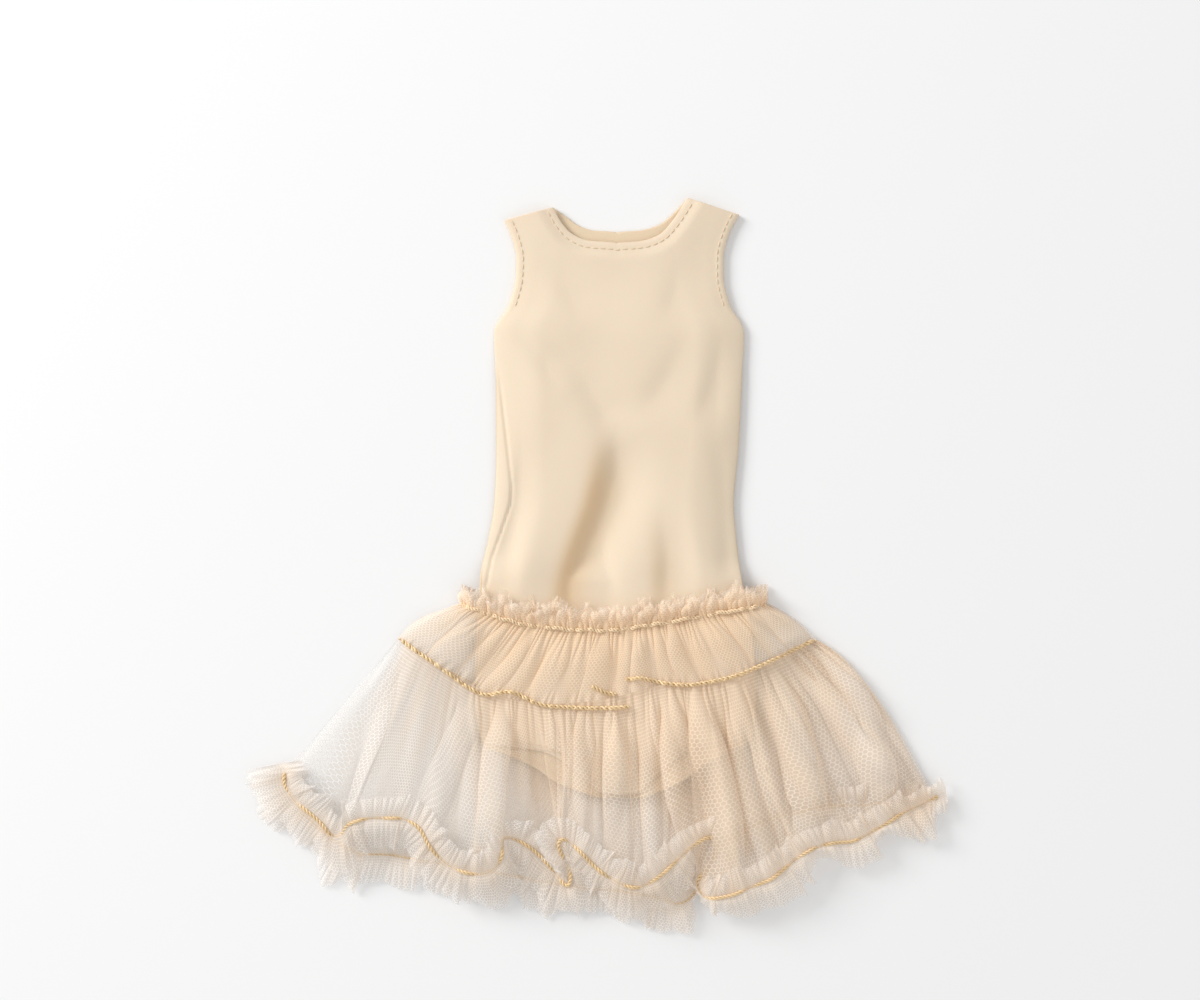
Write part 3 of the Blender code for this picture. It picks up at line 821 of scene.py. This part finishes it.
def inward(line, reach):
    """A line in plan, moved to its left by a set way."""
    run = unit(np.gradient(line, axis=0))
    return line + np.stack([-run[:, 1], run[:, 0]], axis=-1) * reach


def side_edge(side, first, last, count=80):
    """The front panel's outer edge in plan, between two rows of its table."""
    return edge_line(FRONT_ROWS, side, np.linspace(first / LAST_ROW, last / LAST_ROW, count))


sewing = stitches(inward(neck_edge(FRONT_ROWS), -2.3), 2)
for side, first, last, reach, seed in (
    ("left_out", 14.0, LAST_ROW, -2.2, 4),
    ("right_out", 14.0, LAST_ROW, 2.2, 5),
    ("left_out", 0.2, 4.0, -2.0, 6),
    ("right_out", 0.2, 4.0, 2.0, 7),
):
    sewing += stitches(inward(side_edge(side, first, last), reach), seed)
topstitching = make_tubes("leotard_topstitching", sewing, 0.17, CREAM)


# Skirt


def back_base(u, v, x, y):
    """Height of the back net over the floor."""
    near = ease((60.0 - np.abs(x - 4.5)) / 12.0) * ease((y + 92.0) / 16.0)
    swell = 0.5 + 0.5 * np.cos(uneven(u, 15.0, 31))
    return 0.35 + 2.2 * swell * ease((v - 0.1) / 1.6) * (1.0 - near)


def front_base(u, v):
    """Height of the front net, resting on the leotard and the back net."""
    edge = 0.058 + 0.012 * ease(v)
    right = edge + 0.3 * ease((v - 0.8) / 0.5)
    return 1.3 + 4.5 * ease(np.minimum(u / edge, (1.0 - u) / right))


def make_folds(count, seed, low, high, tall):
    """Uneven folds across a tier, low to high millimetres wide and about tall high."""
    maker = np.random.default_rng(seed)
    centres = (np.arange(count) + 0.5 + maker.uniform(-0.32, 0.32, count)) / count
    return [
        Fold(
            centre,
            centre + maker.uniform(-0.35, 0.35) / count,
            maker.uniform(low, high),
            tall * maker.uniform(0.5, 1.3),
            maker.uniform(0.3, 0.75),
            maker.uniform(-0.8, 0.8),
        )
        for centre in centres
    ]


def fold_centre(fold, s):
    """Where a fold lies a share of the way down: it runs in a soft bow."""
    return fold.top + (fold.low - fold.top) * s + 0.014 * fold.lean * np.sin(math.pi * s)


def fold_shift(folds, u, s, span, gain):
    """(sideways, up) shift in millimetres. span is the cloth's width there."""
    sideways = np.zeros_like(u)
    rise = np.zeros_like(u)
    for fold in folds:
        centre = fold_centre(fold, s)
        reach = (u - centre) * span / (fold.width * gain)
        inside = np.abs(reach) < 1.0
        hump = np.where(inside, 0.5 + 0.5 * np.cos(math.pi * reach), 0.0)
        curl = np.where(inside, np.sin(math.pi * reach), 0.0)
        rise += fold.height * hump
        sideways += fold.curl * fold.width * gain * curl * 0.6
        sideways += fold.lean * fold.height * hump * 0.5
    return sideways, rise


def fold_edges(folds, u, s, span):
    """Where the net lies double along its folds."""
    total = np.zeros_like(u)
    for fold in folds:
        centre = fold_centre(fold, s)
        total += np.exp(-((((u - centre) * span) / (0.28 * fold.width)) ** 2))
    return total


MORE_FOLDS = make_folds(9, seed=5, low=4.5, high=8.0, tall=2.0)
SMALL_FOLDS = make_folds(46, seed=8, low=1.6, high=3.0, tall=1.1)
UPPER_FOLDS = make_folds(18, seed=15, low=2.8, high=6.4, tall=1.8)
BACK_FOLDS = make_folds(20, seed=21, low=4.0, high=7.0, tall=1.4)


def upper_bulge(u, v):
    """How far the upper tier swells out at its sides, in plan."""
    swell = 4.0 * v * (1.0 - v) * (2 * u - 1) ** 6 * np.where(u > 0.5, 0.7, 1.2)
    return np.stack([np.sign(u - 0.5) * swell, swell], axis=-1)


def lower_bulge(u, v):
    """How far the lower tier swells out at its right side, in plan."""
    swell = 5.0 * np.sin(math.pi * v**0.72) * (2 * u - 1) ** 6 * (u > 0.5)
    return np.stack([0.85 * swell, 0.5 * swell], axis=-1)


def lower_span(v):
    """Width of the lower tier's cloth, at v from 0 at the tier seam to 1 at the hem."""
    return TIER_SPAN + (HEM_SPAN - TIER_SPAN) * v


def laid(plan, shift, z):
    """Places of a cloth: those in plan, moved along its width by shift, with their heights."""
    return np.concatenate([plan + tangent(plan) * shift[..., None], z[..., None]], axis=-1)


def upper_front(u, v):
    """Front upper tier, v from 0 at the waist to 1 at the tier seam."""
    waist, tier = through(WAIST, u), through(TIER, u)
    plan = waist + (tier - waist) * v[..., None]
    plan = plan + upper_bulge(u, v)
    span = WAIST_SPAN + (TIER_SPAN - WAIST_SPAN) * v
    sideways, rise = fold_shift(UPPER_FOLDS, u, v, span, 0.55 + 0.45 * v)
    strength = ease(v / 0.5) * (1.0 - 0.35 * ease((v - 0.7) / 0.3))
    gather = uneven(u, WAIST_GATHERS, 41, 1.2)
    fine = 1.0 - ease(v / 0.75)
    crisp = fine * (0.36 - 0.3 * (1.0 - patchy(u, 45)) * ease(v / 0.2))
    z = front_base(u, v) + rise * strength + crisp * np.cos(gather)
    z = z + 0.9 * ease(v / 0.25) * (1.0 - ease((v - 0.25) / 0.6))
    seam = uneven(u, TIER_GATHERS, 43, 1.2)
    at_seam = ease((v - 0.8) / 0.2)
    z = z + 0.35 * at_seam * np.cos(seam)
    return laid(plan, sideways * strength + 0.7 * crisp * np.sin(gather), z)


def lower_front(u, v):
    """Front lower tier, v from 0 at the tier seam to 1 at the hem."""
    tier, hem = through(TIER, u), hem_front(u)
    plan = tier + (hem[..., :2] - tier) * v[..., None]
    plan = plan + lower_bulge(u, v)
    span = lower_span(v)
    big = fold_shift(CLEAR_FOLDS, u, v, span, 0.6 + 0.4 * v)
    calm = 0.12 + 0.88 * ease((u - 0.08) / 0.37)
    small = [calm * shift for shift in fold_shift(SMALL_FOLDS, u, v, span, 0.8 + 0.4 * v)]
    more = fold_shift(MORE_FOLDS, u, v, span, 0.6 + 0.4 * v)
    big = [first + calm * second for first, second in zip(big, more)]
    body = ease(v / 0.35) * (1.0 - 0.75 * ease((v - 0.65) / 0.35))
    fine = calm * (1.0 - ease(v / (0.3 + 0.3 * patchy(u, 46)))) * patchy(u, 49, 0.4)
    gather = uneven(u, TIER_GATHERS, 43, 1.2)
    z = front_base(u, v + 1.0) + hem[..., 2] * ease((v - 0.15) / 0.85)
    z = z + big[1] * body + small[1] * (0.35 + 0.65 * body)
    z = z + 0.55 * fine * np.cos(gather) * (1.0 - 0.35 * (1 - v))
    shift = big[0] * body + small[0] * body + 0.45 * fine * np.sin(gather) * ease(v / 0.1)
    return laid(plan, shift, z)


def back_net(u, v):
    """Back net, v from 0 at the waist through 1 at the tier seam to 2 at the hem."""
    waist, tier = through(WAIST, u), through(TIER, u)
    stations = u * (BACK_HEM[-1, 0] - BACK_HEM[0, 0]) + BACK_HEM[0, 0]
    place = np.interp(stations, BACK_HEM[:, 0], np.linspace(0, 1, len(BACK_HEM)))
    hem = through(BACK_HEM, place)
    top = np.clip(v, 0, 1)[..., None]
    low = np.clip(v - 1, 0, 1)[..., None]
    plan = waist + (tier - waist) * top + (hem - tier) * low
    plan = plan + upper_bulge(u, top[..., 0]) + lower_bulge(u, low[..., 0])
    sideways, rise = fold_shift(BACK_FOLDS, u, v / 2, WAIST_SPAN + 100.0 * v / 2, 1.0)
    body = ease(v / 0.8) * (1.0 - 0.7 * ease((v - 1.6) / 0.4))
    waist_pleats = uneven(u, WAIST_GATHERS, 63)
    seam_pleats = uneven(u, TIER_GATHERS, 65)
    near_waist = 1.0 - ease(v / 0.9)
    near_seam = ease((v - 0.7) / 0.3) * (1.0 - ease((v - 1.0) / 0.55))
    z = back_base(u, v, plan[..., 0], plan[..., 1]) + 0.25 * rise * body
    z = z + 0.75 * near_waist * (1.0 + np.cos(waist_pleats))
    z = z + 0.6 * near_seam * (1.0 + np.cos(seam_pleats))
    shift = sideways * body
    shift = shift + 0.5 * near_waist * np.sin(waist_pleats) + 0.4 * near_seam * np.sin(seam_pleats)
    return laid(plan, shift, z)


def cloth_uv(u, v, strip, length):
    """Cloth coordinates in millimetres, along a strip and down it."""
    return np.stack([u * strip, v * length], axis=-1)


def cloth_mesh(columns, first, last, steps):
    """Shares across a cloth, and steps down it from first to last."""
    return np.meshgrid(
        np.linspace(0, 1, columns), np.linspace(first, last, steps), indexing="ij"
    )


def pale_left(u):
    """The warm tint is weaker at the far left."""
    return 0.7 + 0.3 * ease(u / 0.3)


def frill(tall, seed, lean, held):
    """The heading above the waist stitches: t is 1 at its free edge, 0 at them.

    lean and held lift its free edge and its foot, in millimetres.
    """
    u, t = cloth_mesh(1400, 1.0, 0.0, 11)
    line = through(WAIST, u)
    gather = uneven(u, WAIST_GATHERS, 41, 1.2)
    across, up = crumple(u, t, 27.0, seed)
    tufts = crumple(u, 0.0 * t, 13.0, seed + 1)[0]
    at_end = 1.0 - ease(np.minimum(u, 1.0 - u) / 0.09)
    height = tall * (1.0 + 0.2 * tufts) * (1.0 - 0.4 * at_end)
    wide = t**0.7
    rough = 1.0 - 0.6 * at_end
    out_x = 0.8 * (2 * u - 1) * t + wide * 1.25 * rough * across + 0.3 * np.sin(gather)
    z = front_base(u, 0.0 * t) + 0.3 * t + 0.5 * (1.0 - t) * np.cos(gather) + held * (1.0 - t)
    z = z + wide * 1.15 * rough * up + lean * t + 0.6 * np.sin(math.pi * t)
    points = np.stack([line[..., 0] + out_x, line[..., 1] + height * t, z], axis=-1)
    uv = cloth_uv(u, -t * FRILL_HEIGHT / UPPER_LENGTH, UPPER_STRIP, UPPER_LENGTH)
    tint = (3.5 - 2.4 * t) * pale_left(u)
    return points, uv, 2.5 - 0.9 * t, tint, 0.7 * ease((t - 0.6) / 0.4)


def thin_side(u):
    """The net lies thinner at the far left, where it is pulled out flat."""
    return ease((u + 0.006) / 0.05)


def near_spots(points, spots, reach):
    """1 at each spot in plan, falling off over its reach."""
    away = [np.hypot(points[..., 0] - x, (points[..., 1] - y) * 0.6) for x, y in spots]
    return np.exp(-((np.minimum.reduce(away) / reach) ** 2))


# Upper tier, front, with a double frill left standing above the waist stitches
u, v = cloth_mesh(1400, 0.0, 1.0, 26)
tier_points = upper_front(u, v)
tier_uv = cloth_uv(u, v, UPPER_STRIP, UPPER_LENGTH)
tier_tint = (2.8 - 1.1 * v + 1.2 * (1.0 - ease(v / 0.2))) * pale_left(u)
skirt_upper_front = make_cloth(
    "upper_tier_front_net",
    [
        (tier_points, tier_uv, 2.3 - 1.4 * v, tier_tint, 0.0),
        frill(FRILL_HEIGHT, seed=47, lean=0.1, held=0.0),
        frill(0.85 * FRILL_HEIGHT, seed=147, lean=1.3, held=0.2),
    ],
    NET_UPPER,
)

u, v = cloth_mesh(1500, 0.0, 1.0, 40)
lower_points = lower_front(u, v)
doubled = fold_edges(CLEAR_FOLDS + MORE_FOLDS, u, v, lower_span(v))
# The last term is painted shade: the right side of the front net is made warmer and fuller, darker
# where the skirt turns from the light
lower_warm_and_shade = (0.6 + 1.1 * (1.0 - v) ** 1.5) * thin_side(u) + 0.95 * ease((u - 0.6) / 0.25)
thick = 0.8 * np.exp(-(((u - 0.68) / 0.1) ** 2))
lower_tint = lower_warm_and_shade + 0.88 * ease((u - 0.03) / 0.3) * ease((0.95 - u) / 0.35) + 0.4 * thick
lower_full_and_shade = lower_warm_and_shade + 1.1 * doubled * thin_side(u) + thick
# Painted shade: the front net is thinned at two spots so that the darkened back net shows through
# there, as the shade inside the skirt
spots = near_spots(lower_points, [(-18.0, -65.0), (31.0, -74.0)], 6.5)
lower_full_and_shade = lower_full_and_shade * (1.0 - 0.8 * spots)
skirt_lower_front = make_cloth(
    "lower_tier_front_net",
    [(lower_points, cloth_uv(u, v, LOWER_STRIP, LOWER_LENGTH), lower_full_and_shade, lower_tint, 0.0)],
    NET_FRONT,
)

u, v = cloth_mesh(700, -0.26, 1.0, 26)
back_upper_points = back_net(u, np.clip(v, 0, 1))
above = np.clip(-v, 0, None) * UPPER_LENGTH
back_upper_points[..., 1] += above
back_upper_points[..., 2] += above * 0.05 * (1 + np.cos(uneven(u, 40.0, 61)))
back_uv = cloth_uv(u, v, UPPER_STRIP, UPPER_LENGTH)
skirt_upper_back = make_cloth(
    "upper_tier_back_net",
    [(back_upper_points, back_uv, 1.6 - 1.2 * v, 1.6 - 1.2 * v, 0.0)],
    NET_BACK_SHADED,
)

u, v = cloth_mesh(900, 1.0, 2.0, 30)
back_lower_points = back_net(u, v)
# The last term is painted shade: the right side of the back net is made fuller and darker, where
# the skirt turns from the light
back_full_and_shade = (1.2 - 0.7 * (v - 1.0)) * thin_side(u) + 1.0 * ease((u - 0.55) / 0.3)
back_tint = back_full_and_shade + 1.0 * ease((u - 0.25) / 0.2) * ease((0.9 - u) / 0.3)
# Painted shade: at the same two spots the back net is made full and deep-coloured, a dark patch
# for the shade inside the skirt
spots = near_spots(back_lower_points, [(-18.0, -66.0), (31.0, -75.0)], 7.0)
back_full_and_shade = back_full_and_shade + 3.5 * spots
back_uv = cloth_uv(u, v - 1.0, LOWER_STRIP, LOWER_LENGTH)
skirt_lower_back = make_cloth(
    "lower_tier_back_net",
    [(back_lower_points, back_uv, back_full_and_shade, back_tint + 4.0 * spots, 0.0)],
    NET_BACK_SHADED,
)


# Hem ruffles: a strip gathered down its middle on to the hem


def outward_from(hem):
    """Direction out from the skirt at each place of a hem."""
    run = unit(smoothed(tangent(hem), 40))
    square = np.stack([run[:, 1], -run[:, 0]], axis=-1)
    spread = unit(hem[:, :2] - np.array([[5.0, 60.0]]))
    from_end = arc(hem)[-1] - arc(hem)
    end = 1.0 * ease(1.0 - from_end / 16.0)[:, None]
    start = 0.9 * ease(1.0 - arc(hem) / 15.0)[:, None]
    mixed = 0.85 * square + 0.3 * spread
    mixed = mixed + end * np.array([[-0.25, -0.97]]) + start * np.array([[-0.98, 0.2]])
    return smoothed(unit(mixed), 25)


def ruffle(name, hem, reach_in, low_z, seed):
    """Gathered strip along the hem's places, with both edges free: t is 1 at the lower one."""
    run = arc(hem)
    length = run[-1]
    t = np.linspace(-1, 1, 15)[None, :]
    share = (run / length)[:, None]
    fine = uneven(share, length / RUFFLE_PITCH, seed, 1.6)
    loose = uneven(share, length / 11.0, seed + 1, 1.2)
    wide = np.abs(t) ** 0.85
    shorter = np.interp(hem[:, 0], SHORTER[:, 0], SHORTER[:, 1])[:, None]
    less = 2.6 * ease((hem[:, 0] - 98.0) / 8.0)[:, None]
    out = np.where(t > 0, RUFFLE_OUT - shorter, reach_in - less)
    out = out * (1.0 + 0.14 * np.sin(loose) + 0.03 * np.cos(fine))
    from_end = np.minimum(run, length - run)[:, None]
    out = out * np.sqrt(np.clip(0.5 + from_end / 2.0, 0.0, 1.0))
    rough = patchy(share, seed + 2, 0.35)
    way = outward_from(hem)[:, None, :]
    along = tangent(hem)[:, None, :]
    hair = uneven(share, length / 1.25, seed + 3, 2.0)
    shift = wide * (0.55 * rough * np.sin(fine) + 1.5 * np.sin(loose + 0.8))
    shift = shift * ease(from_end / 9.0)
    plan = hem[:, None, :2] + way * (out * t)[..., None] + along * shift[..., None]
    z = hem[:, None, 2] + 0.25
    z = z + wide * (0.62 * rough * np.cos(fine) + 1.0 * (1 + np.cos(loose)))
    z = z + 0.2 * wide * np.cos(hair)
    fall = np.where(t > 0, low_z - z, 0.0)
    z = z + fall * ease(np.maximum(t, 0.0)) * 0.75
    z = z + np.where(t < 0, 0.9 * np.abs(t), 0.0) + 1.1 * np.sin(math.pi * np.abs(t))
    points = np.concatenate([plan, np.maximum(z, 0.12)[..., None]], axis=-1)
    flat_t = t * 10.0 + 0.0 * z
    uv = np.stack([share * length * 1.9 + 0.0 * z, flat_t], -1)
    full = 2.4 - 1.1 * np.abs(t) + 0.0 * z
    tint = 1.85 - 1.4 * np.abs(t) + 0.8 * ease((hem[:, 0] + 20.0) / 60.0)[:, None]
    fray = 0.28 * ease((np.abs(t) - 0.7) / 0.3)
    return make_cloth(name, [(points, uv, full, tint, fray)], NET_RUFFLE)


def even_hem(points, count, left, right):
    """A path of count even steps, run on by left and right millimetres past its ends."""
    first = points[0] + (points[0] - points[60]) * left / arc(points[:61])[-1]
    last = points[-1] + (points[-1] - points[-61]) * right / arc(points[-61:])[-1]
    points = np.concatenate([[first], points, [last]])
    run = arc(points)
    at = np.linspace(0, run[-1], count)
    return np.stack([np.interp(at, run, points[:, i]) for i in range(3)], axis=-1)


line_u = np.linspace(0, 1, 4000)[:, None]
line_v = np.ones_like(line_u)
front_hem = smoothed(lower_front(line_u, line_v)[:, 0], 12)
front_hem = even_hem(front_hem, 1800, left=3.4, right=4.4)
back_hem = smoothed(back_net(line_u, 2 * line_v)[:, 0], 12)
back_hem = even_hem(back_hem, 1500, left=2.0, right=1.0)
hem_ruffle_front = ruffle("hem_ruffle_front_net", front_hem, reach_in=7.6, low_z=3.4, seed=71)
hem_ruffle_back = ruffle("hem_ruffle_back_net", back_hem, reach_in=7.2, low_z=0.8, seed=81)


# Gold thread: two strands twisted along each seam


def twisted(line, lift, radius, turn, sink=0.0, seed=5):
    """Two strands wound round a line of places, sunk here and there in the net.

    They lie lift over the line and radius off it, and go once round it in a turn.
    """
    run = arc(line)
    at = np.arange(0.0, run[-1], 0.28)
    spots = np.stack([np.interp(at, run, line[:, i]) for i in range(3)], axis=-1)
    spots = smoothed(spots, 3)
    ahead = tangent(spots)
    side = np.stack([-ahead[:, 1], ahead[:, 0]], axis=-1)
    dip = sink * np.sin(uneven(at / run[-1], run[-1] / 16.0, seed, 1.0))
    made = []
    for start in (0.0, math.pi):
        angle = at * TAU / turn + start + 0.5 * np.sin(at / 5.0)
        strand = spots.copy()
        strand[:, :2] += side * (radius * np.cos(angle))[:, None]
        strand[:, 2] += lift + dip + radius * 0.8 * np.sin(angle)
        made.append(strand)
    return made


def seam_part(line, first, last):
    """The places of a line between two shares of its length."""
    share = arc(line) / arc(line)[-1]
    return line[(share >= first) & (share <= last)]


net_top = top_of(
    np.concatenate([tier_points[::2, 12:].reshape(-1, 3), lower_points[::2, :14].reshape(-1, 3)])
)


def on_net(places, count=300):
    """A line of places in plan, laid on the front net."""
    plan = through(places, np.linspace(0.0, 1.0, count))
    heights = np.array([[net_top(x, y, 12)] for x, y in plan])
    return np.concatenate([plan, smoothed(heights, 4)], axis=-1)


gold_paths = twisted(on_net(GOLD_LEFT), 0.7, GOLD_RADIUS, GOLD_TURN, sink=0.5, seed=9)
gold_paths += twisted(on_net(GOLD_RIGHT), 0.7, GOLD_RADIUS, GOLD_TURN, sink=0.5, seed=10)
gold_paths += twisted(on_net(GOLD_END), 0.6, GOLD_RADIUS, GOLD_TURN)
gold_tier = make_tubes("gold_stitching_tier_front", gold_paths, 0.36, GOLD)

gold_paths = twisted(seam_part(front_hem, 0.009, 0.992), 0.35, 0.38, 2.8, sink=0.9, seed=11)
gold_hem_front = make_tubes("gold_stitching_hem_front", gold_paths, 0.32, GOLD)

gold_paths = twisted(seam_part(back_hem, 0.01, 0.99), 0.1, 0.3, 2.8)
gold_hem_back = make_tubes("gold_stitching_hem_back", gold_paths, 0.22, GOLD)

back_tier_line = smoothed(back_net(line_u, line_v)[:, 0], 20)
gold_paths = twisted(back_tier_line, -0.1, 0.3, 2.6)
gold_tier_back = make_tubes("gold_stitching_tier_back", gold_paths, 0.26, GOLD)

waist_path = smoothed(upper_front(line_u, 0 * line_v)[:, 0], 30)
waist_path[:, 1] += 0.35 * np.sin(uneven(line_u[:, 0], 19.0, 91))
waist_threads = twisted(waist_path, 0.5, 0.42, 2.3, sink=0.7, seed=12)
peach_stitches = make_tubes("peach_waist_stitching", waist_threads, 0.31, PEACH)


# Cloths: each hides its part from model.glb and goes, with the threads sewn on it, under the root
# body

Cloth = namedtuple("Cloth", "piece node flat held under sewn_on area", defaults=((), (), None))

# Each cloth's cut, as far as it shows on that side, in metres
PANEL, PANEL_AREA = (0.094, 0.200), 0.0140
LOWER_CUT = (0.330, 0.048)
cloths = [
    Cloth(
        leotard_front,
        "leotard_front",
        PANEL,
        "laid",
        [leotard_back],
        [topstitching],
        PANEL_AREA,
    ),
    Cloth(leotard_back, "leotard_back", PANEL, "laid", area=PANEL_AREA),
    Cloth(
        skirt_upper_front,
        "skirt_upper_tier_front",
        (0.210, 0.039),
        "gathered",
        [leotard_front, skirt_upper_back],
        [gold_tier, peach_stitches],
    ),
    Cloth(
        skirt_upper_back,
        "skirt_upper_tier_back",
        (0.210, 0.031),
        "gathered",
        sewn_on=[gold_tier_back],
    ),
    Cloth(
        skirt_lower_front,
        "skirt_lower_tier_front",
        LOWER_CUT,
        "gathered",
        [leotard_front, skirt_lower_back],
    ),
    Cloth(skirt_lower_back, "skirt_lower_tier_back", LOWER_CUT, "gathered"),
    Cloth(
        hem_ruffle_front,
        "hem_ruffle_front",
        (0.560, 0.017),
        "gathered",
        [hem_ruffle_back],
        [gold_hem_front],
    ),
    Cloth(
        hem_ruffle_back,
        "hem_ruffle_back",
        (0.440, 0.017),
        "gathered",
        sewn_on=[gold_hem_back],
    ),
]
for cloth in cloths:
    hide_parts(cloth.node)
    for piece in [cloth.piece, *cloth.sewn_on]:
        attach(piece, "root")


# Floor, light and camera

bpy.ops.mesh.primitive_plane_add(size=6.0, location=(0.0, 0.0, -0.0002))
floor = bpy.context.object
floor.name = "Floor"
paper, _, paper_shader = new_material("Paper")
paper_shader.inputs["Base Color"].default_value = (0.9, 0.9, 0.9, 1.0)
paper_shader.inputs["Roughness"].default_value = 0.9
paper_shader.inputs["Specular IOR Level"].default_value = 0.1
floor.data.materials.append(paper)

world = bpy.data.worlds.new("Studio")
world.use_nodes = True
world.node_tree.nodes["Background"].inputs[0].default_value = (1.0, 1.0, 1.0, 1.0)
world.node_tree.nodes["Background"].inputs[1].default_value = 0.62
bpy.context.scene.world = world


def lamp(name, place, size, power):
    """A square soft light, turned to the middle of the floor."""
    light = bpy.data.lights.new(name, "AREA")
    light.shape = "SQUARE"
    light.size = size
    light.energy = power
    held = bpy.data.objects.new(name, light)
    bpy.context.scene.collection.objects.link(held)
    held.location = place
    held.rotation_euler = (-Vector(place)).to_track_quat("-Z", "Y").to_euler()


lamp("Window", (-1.5, 0.9, 0.9), 0.8, 29.5)
lamp("Fill", (1.4, -0.8, 1.6), 1.6, 5.5)

camera_data = bpy.data.cameras.new("Camera")
camera_data.lens = 85.0
camera_data.sensor_width = 36.0
camera_data.clip_start = 0.05
camera = bpy.data.objects.new("Camera", camera_data)
bpy.context.scene.collection.objects.link(camera)
camera.location = (-0.0003, 0.022, 0.940)
camera.rotation_euler = (0.0, 0.0, 0.0)
bpy.context.scene.camera = camera
bpy.context.scene.view_settings.view_transform = "Standard"
bpy.context.scene.cycles.transparent_max_bounces = 32
